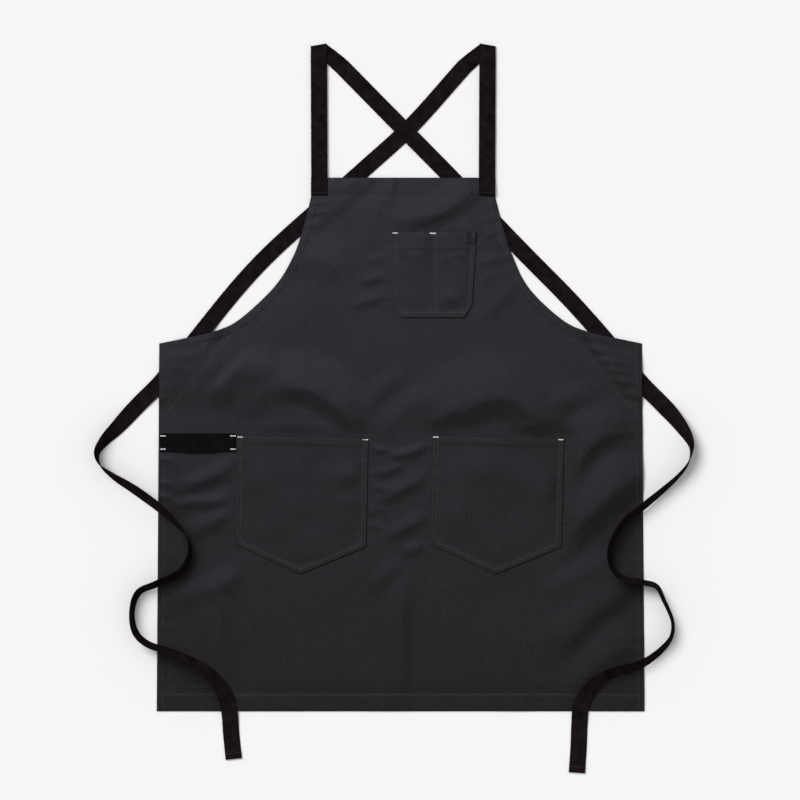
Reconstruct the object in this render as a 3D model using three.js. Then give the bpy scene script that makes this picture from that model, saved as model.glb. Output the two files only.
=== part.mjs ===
// Cross back apron, lying flat with its front up, its two shoulder straps folded over behind it
// and its waist ties swinging loosely beside the skirt.
// Millimetres. +Z is up and +Y points from the skirt to the shoulders.
// Left and right are as the front is seen. The waist line is y = 0 and the middle of the skirt x = 0
// until the last lines, which centre the whole apron over the origin.

import * as THREE from 'three';

// Thickness of cloth and webbing, and the space left where pieces touch
const clothThickness = 1.0;
const hemThickness = 1.8;
const webThickness = 1.5;
const clearance = 0.3;
const hemStep = 2;

// Skirt, from the waist down
const skirtWidth = 748;
const skirtFlare = 4;
const skirtLength = 570;
const sideHem = 10;
const bottomHem = 26;

// Bib, from the waist up
const bibWidth = 286;
const bibHeight = 257;
const bibStraight = 31;
const bibOffset = 4;
const topHem = 24;

// Armhole edge. down is a share of the bib's height under its straight part,
// out a share of the way from the bib's side to the skirt's side.
const armhole = [
  { down: 0, out: 0 },
  { down: 0.18, out: 0.045 },
  { down: 0.4, out: 0.116 },
  { down: 0.62, out: 0.239 },
  { down: 0.84, out: 0.47 },
  { down: 0.92, out: 0.641 },
  { down: 0.96, out: 0.81 },
  { down: 1, out: 1 },
];

// Chest pocket with a pen slot, placed from the bib's top edge and middle
const chestPocketWidth = 131;
const chestPocketTaper = 7;
const chestPocketDepth = 133;
const chestPocketDrop = 84;
const chestPocketOffset = 48.5;
const chestPocketHem = 25;
const chestCornerWidth = 14;
const chestCornerHeight = 21;
const penSlotWidth = 63;
const chestPocketBow = 6.5;
const tagWidth = 17;
const tagHeight = 17;

// Hip pockets, pointed at the bottom
const hipPocketWidth = 203;
const hipPocketSide = 168;
const hipPocketPoint = 44;
const hipPocketDrop = 145;
const hipPocketGap = 100;
const hipPocketTurn = -1.2;
const hipPocketHem = 10;
const hipPocketBow = 8;
const turnedEdge = 8;

// Towel loop of wide webbing, from the side edge to the left hip pocket
const loopWidth = 28.5;
const loopDrop = 153.5;
const loopBow = 8;
const loopSewn = 10;

// Shoulder straps, which cross behind the bib, run through the casings and end as waist ties
const webWidth = 25.4;
const strapSewn = 27;
const strapRise = 204;
const strapInset = 0.6;
const strapLean = 2;
const foldSlant = 10;
const foldTurnIn = 36;
const diagonalBow = 12.8;
const tieHem = 11;

// Casings behind the corners of the waist, where the straps run through
const casingWidth = 40;
const casingInset = 7;
const casingAngle = 39.5;
const casingReach = 85;
const casingSpare = 26;
const casingMargin = 5;
const sideExit = 63;

// Each strap from the shoulder fold to the casing, as a shallow curve. along is a share of that way,
// bow a share of diagonalBow, positive away from the skirt's middle.
const diagonalFromLeft = [
  { along: 0.27, bow: 0.3 },
  { along: 0.42, bow: 0.36 },
  { along: 0.7, bow: 0.28 },
  { along: 0.87, bow: 0.31 },
];
const diagonalFromRight = [
  { along: 0.27, bow: -0.26 },
  { along: 0.42, bow: 0.11 },
  { along: 0.7, bow: 1 },
  { along: 0.79, bow: 0.98 },
  { along: 0.87, bow: 0.7 },
];

// Waist ties from the side edge to their ends. out is a share of tieReach beyond the side edge, down a
// share of tieDrop under the place where the tie comes out, and lean is how far the webbing stands up
// from flat, in degrees: past 90 its other face shows.
const tieReach = 95;
const tieDrop = 602;
const tieOnTheLeft = [
  { out: 0.331, down: 0.0515, lean: 0 },
  { out: 0.69, down: 0.113, lean: 32 },
  { out: 0.878, down: 0.144, lean: 52 },
  { out: 1.003, down: 0.175, lean: 72 },
  { out: 0.967, down: 0.206, lean: 92 },
  { out: 0.739, down: 0.237, lean: 112 },
  { out: 0.429, down: 0.268, lean: 122 },
  { out: 0.021, down: 0.314, lean: 122 },
  { out: -0.223, down: 0.3475, lean: 113 },
  { out: -0.468, down: 0.394, lean: 92 },
  { out: -0.501, down: 0.4376, lean: 76 },
  { out: -0.37, down: 0.479, lean: 69 },
  { out: 0.0375, down: 0.5135, lean: 66 },
  { out: 0.331, down: 0.5354, lean: 69 },
  { out: 0.437, down: 0.587, lean: 76 },
  { out: 0.38, down: 0.638, lean: 73 },
  { out: 0.209, down: 0.6654, lean: 72 },
  { out: -0.2235, down: 0.69, lean: 69 },
  { out: -0.566, down: 0.7156, lean: 60 },
  { out: -0.892, down: 0.754, lean: 45 },
  { out: -1.08, down: 0.8005, lean: 22 },
  { out: -1.145, down: 0.8417, lean: 3 },
  { out: -1.175, down: 0.9035, lean: 0 },
  { out: -1.215, down: 0.9647, lean: 0 },
];
const tieOnTheRight = [
  { out: 0.328, down: 0.0515, lean: 0 },
  { out: 0.507, down: 0.0824, lean: 24 },
  { out: 0.654, down: 0.113, lean: 42 },
  { out: 0.768, down: 0.144, lean: 64 },
  { out: 0.801, down: 0.17, lean: 84 },
  { out: 0.736, down: 0.206, lean: 98 },
  { out: 0.581, down: 0.2368, lean: 105 },
  { out: 0.369, down: 0.2677, lean: 111 },
  { out: 0.034, down: 0.3115, lean: 117 },
  { out: -0.276, down: 0.35, lean: 115 },
  { out: -0.471, down: 0.394, lean: 109 },
  { out: -0.545, down: 0.44, lean: 107 },
  { out: -0.488, down: 0.4736, lean: 107 },
  { out: -0.341, down: 0.4968, lean: 107 },
  { out: 0.018, down: 0.5097, lean: 107 },
  { out: 0.23, down: 0.52, lean: 106 },
  { out: 0.352, down: 0.556, lean: 104 },
  { out: 0.491, down: 0.61, lean: 103 },
  { out: 0.483, down: 0.6435, lean: 106 },
  { out: 0.377, down: 0.6718, lean: 113 },
  { out: 0.029, down: 0.7156, lean: 123 },
  { out: -0.5857, down: 0.749, lean: 137 },
  { out: -0.847, down: 0.7825, lean: 155 },
  { out: -0.993, down: 0.8263, lean: 175 },
  { out: -1.018, down: 0.87, lean: 180 },
  { out: -1.034, down: 0.937, lean: 180 },
  { out: -1.062, down: 1, lean: 180 },
];

// Soft folds of the cloth as ridges between two ends. x is a share of half the skirt's width, y of the
// skirt's length, or of the bib's height above the waist. rise is a share of foldRise, spread of foldSpread.
const foldRise = 8;
const foldSpread = 46;
const folds = [
  { x1: -0.905, y1: -0.175, x2: -0.66, y2: -0.065, rise: 0.6, spread: 0.6 },
  { x1: -0.62, y1: -0.02, x2: -0.27, y2: -0.135, rise: 0.8, spread: 0.9 },
  { x1: 0.2, y1: -0.19, x2: 0.33, y2: -0.12, rise: 1, spread: 0.8 },
  { x1: 0.33, y1: -0.12, x2: 0.56, y2: -0.14, rise: 1, spread: 0.8 },
  { x1: 0.76, y1: -0.35, x2: 0.93, y2: -0.255, rise: 0.9, spread: 0.75 },
  { x1: 0.78, y1: -0.46, x2: 0.95, y2: -0.35, rise: 0.6, spread: 0.6 },
  { x1: 0.72, y1: -0.77, x2: 0.94, y2: -0.67, rise: 0.8, spread: 0.75 },
  { x1: 0.72, y1: -0.92, x2: 0.97, y2: -0.81, rise: 0.7, spread: 0.65 },
  { x1: -0.7, y1: -0.8, x2: -0.62, y2: -0.92, rise: 0.5, spread: 0.9 },
  { x1: 0.06, y1: -0.75, x2: 0.1, y2: -0.93, rise: 0.5, spread: 0.9 },
  { x1: -0.36, y1: 0.54, x2: -0.16, y2: 0.62, rise: 0.8, spread: 0.8 },
  { x1: 0, y1: 0.8, x2: 0.2, y2: 0.93, rise: 0.5, spread: 0.6 },
];

// How finely the cloth is divided
const sideCells = 4;
const sideCell = 15;
const middleCells = 22;
const armholeCells = 17;
const waistCells = 6;
const waistCell = 13;
const skirtCells = 21;
const cellReach = 20;
const pocketCell = 22;
const pocketRowCells = 7;
const liftSlope = 30;
const webStep = 13;

// Finishes
const clothFinish = { color: 0x2e2e32, roughness: 0.86, metalness: 0 };
const pocketFinish = { color: 0x2c2c30, roughness: 0.86, metalness: 0 };
const webFinish = { color: 0x171317, roughness: 0.74, metalness: 0 };
const tagFinish = { color: 0x1b1f27, roughness: 0.6, metalness: 0 };

const smoothstep = THREE.MathUtils.smoothstep;
const degToRad = THREE.MathUtils.degToRad;
const UP = new THREE.Vector3(0, 0, 1);

function namedMesh(name, positions, triangles, finish) {
  const geometry = new THREE.BufferGeometry();
  geometry.setAttribute('position', new THREE.Float32BufferAttribute(positions, 3));
  geometry.setIndex(triangles);
  geometry.computeVertexNormals();
  const mesh = new THREE.Mesh(geometry, new THREE.MeshStandardMaterial(finish));
  mesh.name = name;
  return mesh;
}

// A sheet of cloth as rows of points, each with its underside height z and its thickness
class ClothSheet {
  constructor(rows) {
    this.rows = rows;
    this.columns = rows[0].length;
  }

  // Height of the upper face over a place, or 0 outside the sheet
  topAt(x, y) {
    for (let j = 0; j + 1 < this.rows.length; j++) {
      for (let i = 0; i + 1 < this.columns; i++) {
        const a = this.rows[j][i];
        const b = this.rows[j + 1][i];
        const c = this.rows[j + 1][i + 1];
        const d = this.rows[j][i + 1];
        if (x < Math.min(a.x, b.x) || x > Math.max(c.x, d.x)) continue;
        if (y > Math.max(a.y, d.y) || y < Math.min(b.y, c.y)) continue;
        const height = topInTriangle(x, y, a, b, c) ?? topInTriangle(x, y, a, c, d);
        if (height !== null) return height;
      }
    }
    return 0;
  }

  // Highest point of the upper face within reach of a place
  highestNear(x, y, reach) {
    let highest = this.topAt(x, y);
    for (let step = 0; step < 8; step++) {
      const angle = step * Math.PI / 4;
      const atRim = this.topAt(x + reach * Math.cos(angle), y + reach * Math.sin(angle));
      const halfWay = this.topAt(x + reach / 2 * Math.cos(angle), y + reach / 2 * Math.sin(angle));
      highest = Math.max(highest, atRim, halfWay);
    }
    return highest;
  }

  mesh(name, finish) {
    const positions = [];
    const triangles = [];
    const rowCount = this.rows.length;
    const columns = this.columns;
    const upper = (j, i) => j * columns + i;
    const lower = (j, i) => rowCount * columns + j * columns + i;
    for (const row of this.rows) {
      for (const point of row) positions.push(point.x, point.y, point.z + point.thickness);
    }
    for (const row of this.rows) {
      for (const point of row) positions.push(point.x, point.y, point.z);
    }
    for (let j = 0; j + 1 < rowCount; j++) {
      for (let i = 0; i + 1 < columns; i++) {
        triangles.push(upper(j, i), upper(j + 1, i), upper(j + 1, i + 1));
        triangles.push(upper(j, i), upper(j + 1, i + 1), upper(j, i + 1));
        triangles.push(lower(j, i), lower(j + 1, i + 1), lower(j + 1, i));
        triangles.push(lower(j, i), lower(j, i + 1), lower(j + 1, i + 1));
      }
    }
    const rim = [];
    for (let j = 0; j < rowCount - 1; j++) rim.push([j, 0]);
    for (let i = 0; i < columns - 1; i++) rim.push([rowCount - 1, i]);
    for (let j = rowCount - 1; j > 0; j--) rim.push([j, columns - 1]);
    for (let i = columns - 1; i > 0; i--) rim.push([0, i]);
    rim.forEach(([j, i], index) => {
      const [nextJ, nextI] = rim[(index + 1) % rim.length];
      triangles.push(upper(j, i), lower(j, i), lower(nextJ, nextI));
      triangles.push(upper(j, i), lower(nextJ, nextI), upper(nextJ, nextI));
    });
    return namedMesh(name, positions, triangles, finish);
  }
}

function topInTriangle(x, y, a, b, c) {
  const area = (b.x - a.x) * (c.y - a.y) - (c.x - a.x) * (b.y - a.y);
  if (Math.abs(area) < 1e-9) return null;
  const shareB = ((x - a.x) * (c.y - a.y) - (c.x - a.x) * (y - a.y)) / area;
  const shareC = ((b.x - a.x) * (y - a.y) - (x - a.x) * (b.y - a.y)) / area;
  const shareA = 1 - shareB - shareC;
  if (Math.min(shareA, shareB, shareC) < -1e-6) return null;
  const topOf = (point) => point.z + point.thickness;
  return shareA * topOf(a) + shareB * topOf(b) + shareC * topOf(c);
}

// A ribbon of webbing through sections, each with its middle and the direction across it.
// The thickness may differ from section to section.
function webbingMesh(name, sections, width, finish) {
  const positions = [];
  const triangles = [];
  const along = new THREE.Vector3();
  const normal = new THREE.Vector3();
  const corner = new THREE.Vector3();
  sections.forEach((section, k) => {
    const before = sections[Math.max(k - 1, 0)].middle;
    const after = sections[Math.min(k + 1, sections.length - 1)].middle;
    along.subVectors(after, before);
    normal.crossVectors(along, section.across).normalize();
    for (const [side, face] of [[-1, -1], [1, -1], [1, 1], [-1, 1]]) {
      corner.copy(section.middle);
      corner.addScaledVector(section.across, side * width / 2);
      corner.addScaledVector(normal, face * section.thickness / 2);
      positions.push(corner.x, corner.y, corner.z);
    }
  });
  for (let k = 0; k + 1 < sections.length; k++) {
    for (let side = 0; side < 4; side++) {
      const here = 4 * k + side;
      const beside = 4 * k + (side + 1) % 4;
      triangles.push(here, beside, beside + 4);
      triangles.push(here, beside + 4, here + 4);
    }
  }
  const last = 4 * (sections.length - 1);
  triangles.push(0, 2, 1, 0, 3, 2);
  triangles.push(last, last + 1, last + 2, last, last + 2, last + 3);
  return namedMesh(name, positions, triangles, finish);
}

// The panel's outline as rows from the bib's top edge to the skirt's bottom edge
function outlineRows() {
  const rows = [];
  const bibSide = bibWidth / 2;
  const skirtSide = skirtWidth / 2;
  const armholeHeight = bibHeight - bibStraight;
  const middleAt = (y) => bibOffset * smoothstep(y, bibHeight * 0.23, bibHeight * 0.58);
  const addRow = (y, halfWidth, inHem, hemAcross) => {
    rows.push({ y, halfWidth, inHem, hemAcross, middle: middleAt(y) });
  };
  addRow(bibHeight, bibSide, true, sideHem);
  addRow(bibHeight - topHem, bibSide, true, sideHem);
  addRow(bibHeight - topHem - hemStep, bibSide, false, sideHem);
  const edge = new THREE.SplineCurve(armhole.map(({ down, out }) => new THREE.Vector2(
    bibSide + out * (skirtSide - bibSide),
    armholeHeight * (1 - down),
  )));
  for (let k = 0; k <= armholeCells; k++) {
    const point = edge.getPointAt(k / armholeCells);
    const tangent = edge.getTangentAt(k / armholeCells);
    const slant = Math.min(1 / Math.max(-tangent.y, 0.01), 2.5);
    addRow(point.y, point.x, false, k < armholeCells ? sideHem * slant : sideHem);
  }
  const sideAt = (y) => skirtSide - skirtFlare * y / skirtLength;
  for (let k = 1; k <= waistCells; k++) {
    addRow(-k * waistCell, sideAt(-k * waistCell), false, sideHem);
  }
  const start = -waistCells * waistCell;
  const end = -(skirtLength - bottomHem - hemStep);
  for (let k = 1; k <= skirtCells; k++) {
    const y = start + (end - start) * k / skirtCells;
    addRow(y, sideAt(y), false, sideHem);
  }
  addRow(end - hemStep, sideAt(end - hemStep), true, sideHem);
  addRow(-skirtLength, sideAt(-skirtLength), true, sideHem);
  return rows;
}

const outline = outlineRows();

// Left and right edge of the panel at a height y
function edgesAt(y) {
  const held = Math.min(Math.max(y, -skirtLength), bibHeight);
  let below = outline.findIndex((row) => row.y <= held);
  below = Math.max(below, 1);
  const upperRow = outline[below - 1];
  const lowerRow = outline[below];
  const share = (upperRow.y - held) / (upperRow.y - lowerRow.y);
  const halfWidth = THREE.MathUtils.lerp(upperRow.halfWidth, lowerRow.halfWidth, share);
  const middle = THREE.MathUtils.lerp(upperRow.middle, lowerRow.middle, share);
  return { left: middle - halfWidth, right: middle + halfWidth };
}

// How far a place lies outside the panel, negative inside
function outsidePanel(x, y) {
  const edges = edgesAt(y);
  return Math.max(edges.left - x, x - edges.right, y - bibHeight, -skirtLength - y);
}

// Plan of the strap that starts at one shoulder and ends at the other side. side is -1 for the left
// shoulder and 1 for the right one.
function strapPlan(side, diagonalRows, tieRows) {
  const bibMiddle = bibOffset;
  const foot = bibMiddle + side * (bibWidth / 2 - strapInset - webWidth / 2);
  const shoulder = new THREE.Vector2(foot + side * strapLean / 2, bibHeight + strapRise);
  const exitX = -side * (skirtWidth / 2 + skirtFlare * sideExit / skirtLength);
  const exit = new THREE.Vector2(exitX, -sideExit);
  const casingDirection = new THREE.Vector2(side * Math.sin(degToRad(casingAngle)),
    Math.cos(degToRad(casingAngle)));
  const entry = exit.clone().addScaledVector(casingDirection, casingReach);
  const start = shoulder.clone().add(new THREE.Vector2(-side * foldTurnIn, -foldTurnIn * 0.89));
  const chord = new THREE.Vector2().subVectors(entry, shoulder);
  const bowDirection = new THREE.Vector2(-side * -chord.y, -side * chord.x).normalize();
  if (bowDirection.x * -side < 0) bowDirection.negate();
  const knots = [new THREE.Vector3(start.x, start.y, 0)];
  for (const { along, bow } of diagonalRows) {
    const place = shoulder.clone().addScaledVector(chord, along);
    place.addScaledVector(bowDirection, bow * diagonalBow);
    knots.push(new THREE.Vector3(place.x, place.y, 0));
  }
  knots.push(new THREE.Vector3(entry.x, entry.y, 0));
  knots.push(new THREE.Vector3((entry.x + exit.x) / 2, (entry.y + exit.y) / 2, 0));
  knots.push(new THREE.Vector3(exit.x, exit.y, 0));
  for (const { out, down, lean } of tieRows) {
    const x = -side * (skirtWidth / 2 + out * tieReach);
    knots.push(new THREE.Vector3(x, -sideExit - down * tieDrop, lean));
  }
  const curve = new THREE.CatmullRomCurve3(knots, false, 'centripetal');
  const points = curve.getSpacedPoints(Math.round(curve.getLength() / webStep));
  for (const point of points) point.z = THREE.MathUtils.clamp(point.z, 0, 180);
  return { side, foot, shoulder, entry, exit, points };
}

const planFromLeft = strapPlan(-1, diagonalFromLeft, tieOnTheRight);
const planFromRight = strapPlan(1, diagonalFromRight, tieOnTheLeft);

// The crossing behind the bib, where both straps' plans come nearest
function crossingPlace() {
  let nearest = Infinity;
  const place = new THREE.Vector2();
  for (const a of planFromLeft.points) {
    for (const b of planFromRight.points) {
      const distance = Math.hypot(a.x - b.x, a.y - b.y);
      if (distance < nearest) {
        nearest = distance;
        place.set((a.x + b.x) / 2, (a.y + b.y) / 2);
      }
    }
  }
  return place;
}

const crossing = crossingPlace();

function distanceToSegment(x, y, x1, y1, x2, y2) {
  const lengthSquared = (x2 - x1) ** 2 + (y2 - y1) ** 2;
  const share = ((x - x1) * (x2 - x1) + (y - y1) * (y2 - y1)) / lengthSquared;
  const held = Math.min(Math.max(share, 0), 1);
  return Math.hypot(x - x1 - held * (x2 - x1), y - y1 - held * (y2 - y1));
}

// Height of a strap's underside between the shoulder fold and the side edge
function strapUnderside(x, y, plan) {
  const casingTop = clothThickness + clearance;
  const toCasing = distanceToSegment(x, y, plan.entry.x, plan.entry.y, plan.exit.x, plan.exit.y);
  const level = casingSpare + casingMargin;
  const onCasing = casingTop * (1 - smoothstep(toCasing, level, level + liftSlope));
  if (plan.side > 0) return onCasing;
  const toCrossing = Math.hypot(x - crossing.x, y - crossing.y);
  const onOther = (webThickness + clearance) * (1 - smoothstep(toCrossing, webWidth, webWidth + liftSlope));
  return Math.max(onCasing, onOther);
}

// Places of both straps that the panel lies over, with the height of their upper face
function hiddenStrapPlaces() {
  const places = [];
  for (const plan of [planFromLeft, planFromRight]) {
    for (const point of plan.points) {
      const beforeTie = -plan.side * point.x <= skirtWidth / 2 + webWidth && point.y > plan.exit.y - webWidth / 2;
      if (!beforeTie || outsidePanel(point.x, point.y) > webWidth) continue;
      const top = strapUnderside(point.x, point.y, plan) + webThickness;
      places.push({ x: point.x, y: point.y, top });
    }
  }
  return places;
}

const hiddenPlaces = hiddenStrapPlaces();

// Pockets as rows of places from the mouth down, with the bow that leaves their space open.
// breaks are the places across where the outline turns, seams where the pocket is sewn down.
function pocketRows({ width, taper, hem, depthAt, breaks, seams, bow, middleX, mouthY, turn }) {
  const half = width / 2;
  const open = half - turnedEdge;
  const stops = [-open, ...breaks, ...seams, open].sort((a, b) => a - b);
  const acrossPlaces = [-half, -open];
  for (let k = 1; k < stops.length; k++) {
    const cells = Math.max(1, Math.round((stops[k] - stops[k - 1]) / pocketCell));
    for (let i = 1; i <= cells; i++) {
      acrossPlaces.push(THREE.MathUtils.lerp(stops[k - 1], stops[k], i / cells));
    }
  }
  acrossPlaces.push(half);
  const bays = [-open, ...seams, open];
  const openAcross = (across) => {
    for (let bay = 1; bay < bays.length; bay++) {
      if (across <= bays[bay - 1] || across >= bays[bay]) continue;
      const share = 2 * (across - bays[bay - 1]) / (bays[bay] - bays[bay - 1]) - 1;
      return 1 - share ** 2;
    }
    return 0;
  };
  const cosine = Math.cos(degToRad(turn));
  const sine = Math.sin(degToRad(turn));
  const rows = [];
  for (let j = 0; j <= pocketRowCells + 3; j++) {
    rows.push(acrossPlaces.map((across) => {
      const depth = depthAt(across);
      const openDepth = depth - turnedEdge;
      const body = hem + hemStep;
      const inBody = body + (openDepth - body) * (j - 2) / pocketRowCells;
      const down = [0, hem][j] ?? (j === pocketRowCells + 3 ? depth : inBody);
      const share = Math.min(down / openDepth, 1);
      const rise = bow * openAcross(across) * (1 - share ** 2);
      const drawnIn = across > 0 ? taper * (across / half) * (down / depth) : 0;
      const x = across - drawnIn;
      return {
        x: middleX + x * cosine + down * sine,
        y: mouthY + x * sine - down * cosine,
        rise,
        thickness: j <= 1 ? hemThickness : clothThickness,
      };
    }));
  }
  return rows;
}

function hipPocketRows(side) {
  const half = hipPocketWidth / 2;
  return pocketRows({
    width: hipPocketWidth,
    taper: 0,
    hem: hipPocketHem,
    depthAt: (across) => hipPocketSide + hipPocketPoint * (1 - Math.abs(across) / half),
    breaks: [0],
    seams: [],
    bow: hipPocketBow,
    middleX: side * (hipPocketGap + hipPocketWidth) / 2,
    mouthY: -hipPocketDrop,
    turn: hipPocketTurn,
  });
}

const chestPocketX = bibOffset + chestPocketOffset;
const chestPocketMouth = bibHeight - chestPocketDrop;

function chestPocketRows() {
  const half = chestPocketWidth / 2;
  return pocketRows({
    width: chestPocketWidth,
    taper: chestPocketTaper,
    hem: chestPocketHem,
    depthAt: (across) => {
      const intoCorner = Math.max(0, Math.abs(across) - (half - chestCornerWidth)) / chestCornerWidth;
      return chestPocketDepth - chestCornerHeight * intoCorner;
    },
    breaks: [chestCornerWidth - half, half - chestCornerWidth],
    seams: [penSlotWidth - half],
    bow: chestPocketBow,
    middleX: chestPocketX,
    mouthY: chestPocketMouth,
    turn: 0,
  });
}

// The cloth lies flat under the pockets and in folds elsewhere
function flatUnderPockets(x, y) {
  const hipX = (hipPocketGap + hipPocketWidth) / 2;
  const hipMiddle = -hipPocketDrop - (hipPocketSide + hipPocketPoint) / 2;
  const chestMiddle = chestPocketMouth - chestPocketDepth / 2;
  const patches = [
    { x: -hipX, y: hipMiddle, halfX: hipPocketWidth / 2, halfY: (hipPocketSide + hipPocketPoint) / 2 },
    { x: hipX, y: hipMiddle, halfX: hipPocketWidth / 2, halfY: (hipPocketSide + hipPocketPoint) / 2 },
    { x: chestPocketX, y: chestMiddle, halfX: chestPocketWidth / 2, halfY: chestPocketDepth / 2 },
  ];
  let free = 1;
  for (const patch of patches) {
    const away = Math.max(Math.abs(x - patch.x) - patch.halfX, Math.abs(y - patch.y) - patch.halfY);
    free = Math.min(free, smoothstep(away, cellReach, 2 * cellReach));
  }
  return free;
}

function foldHeight(x, y) {
  let height = 0;
  const shareOf = (value) => value > 0 ? value * bibHeight : value * skirtLength;
  for (const fold of folds) {
    const x1 = fold.x1 * skirtWidth / 2;
    const x2 = fold.x2 * skirtWidth / 2;
    const away = distanceToSegment(x, y, x1, shareOf(fold.y1), x2, shareOf(fold.y2));
    const share = away / (fold.spread * foldSpread);
    if (share < 1) height += fold.rise * foldRise * (1 - share ** 2) ** 2;
  }
  return height * flatUnderPockets(x, y);
}

// Height of the panel's underside: on the surface, over the hidden straps, or up in a fold
function panelUnderside(x, y) {
  let lift = 0;
  for (const place of hiddenPlaces) {
    const away = Math.hypot(x - place.x, y - place.y) - webWidth / 2;
    const here = (place.top + clearance) * (1 - smoothstep(away, cellReach, cellReach + liftSlope));
    lift = Math.max(lift, here);
  }
  return lift + foldHeight(x, y);
}

function panelSheet() {
  const fullInner = skirtWidth / 2 - sideHem - hemStep;
  const rows = outline.map((row) => {
    const inner = row.halfWidth - row.hemAcross - hemStep;
    const narrow = sideCell * inner / fullInner;
    const middle = inner - sideCells * narrow;
    const places = [-row.halfWidth, -row.halfWidth + row.hemAcross];
    for (let i = 0; i <= sideCells; i++) places.push(-inner + i * narrow);
    for (let i = 1; i < middleCells; i++) places.push(-middle + 2 * middle * i / middleCells);
    for (let i = 0; i <= sideCells; i++) places.push(middle + i * narrow);
    places.push(row.halfWidth - row.hemAcross, row.halfWidth);
    return places.map((place, i) => {
      const x = row.middle + place;
      const inSideHem = i < 2 || i >= places.length - 2;
      const thickness = row.inHem || inSideHem ? hemThickness : clothThickness;
      return { x, y: row.y, z: panelUnderside(x, row.y), thickness };
    });
  });
  return new ClothSheet(rows);
}

const panel = panelSheet();

// A pocket seated on the panel
function pocketSheet(rows) {
  return new ClothSheet(rows.map((row) => row.map((point) => ({
    ...point,
    z: panel.highestNear(point.x, point.y, cellReach) + clearance + point.rise,
  }))));
}

const hipPocketLeft = pocketSheet(hipPocketRows(-1));
const hipPocketRight = pocketSheet(hipPocketRows(1));
const chestPocket = pocketSheet(chestPocketRows());

// The bare tag at the chest pocket's upper right corner
function tagSheet() {
  const right = chestPocketX + chestPocketWidth / 2 - clearance;
  const top = chestPocketMouth - clearance;
  const rows = [];
  for (let j = 0; j <= 3; j++) {
    const row = [];
    for (let i = 0; i <= 3; i++) {
      const x = right - tagWidth + tagWidth * i / 3 - chestPocketTaper * tagHeight / chestPocketDepth;
      const y = top - tagHeight * j / 3;
      const z = chestPocket.highestNear(x, y, tagWidth / 3) + clearance;
      row.push({ x, y, z, thickness: clothThickness });
    }
    rows.push(row);
  }
  return new ClothSheet(rows);
}

// The towel loop: both ends sewn flat, the middle bowed so that a towel's corner goes through
function loopSections() {
  const y = -loopDrop;
  const left = -skirtWidth / 2 + 1;
  const pocketEdge = -(hipPocketGap / 2 + hipPocketWidth);
  const right = pocketEdge - 1 - webThickness;
  const length = right - left;
  const across = new THREE.Vector3(0, 1, 0);
  const sections = [];
  const steps = 16;
  for (let k = 0; k <= steps; k++) {
    const x = left + length * k / steps;
    const fromEnd = Math.min(x - left, right - x) - loopSewn;
    const open = Math.max(fromEnd, 0) / (length / 2 - loopSewn);
    const onCloth = panel.highestNear(x, y, loopWidth / 2);
    const z = onCloth + clearance + webThickness / 2 + loopBow * Math.sin(Math.min(open, 1) * Math.PI / 2) ** 1.5;
    sections.push({ middle: new THREE.Vector3(x, y, z), across, thickness: webThickness });
  }
  return sections;
}

// Height on which a tie's lower edge rests: the panel, its edge, or the surface beside it
function tieSupport(x, y) {
  const outside = outsidePanel(x, y);
  const edges = edgesAt(y);
  const heldX = Math.min(Math.max(x, edges.left + 1), edges.right - 1);
  const heldY = Math.max(y, -skirtLength + 1);
  const onPanel = panel.highestNear(heldX, heldY, webStep) + clearance;
  return onPanel * (1 - smoothstep(outside, webStep / 2, webStep / 2 + liftSlope));
}

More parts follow.
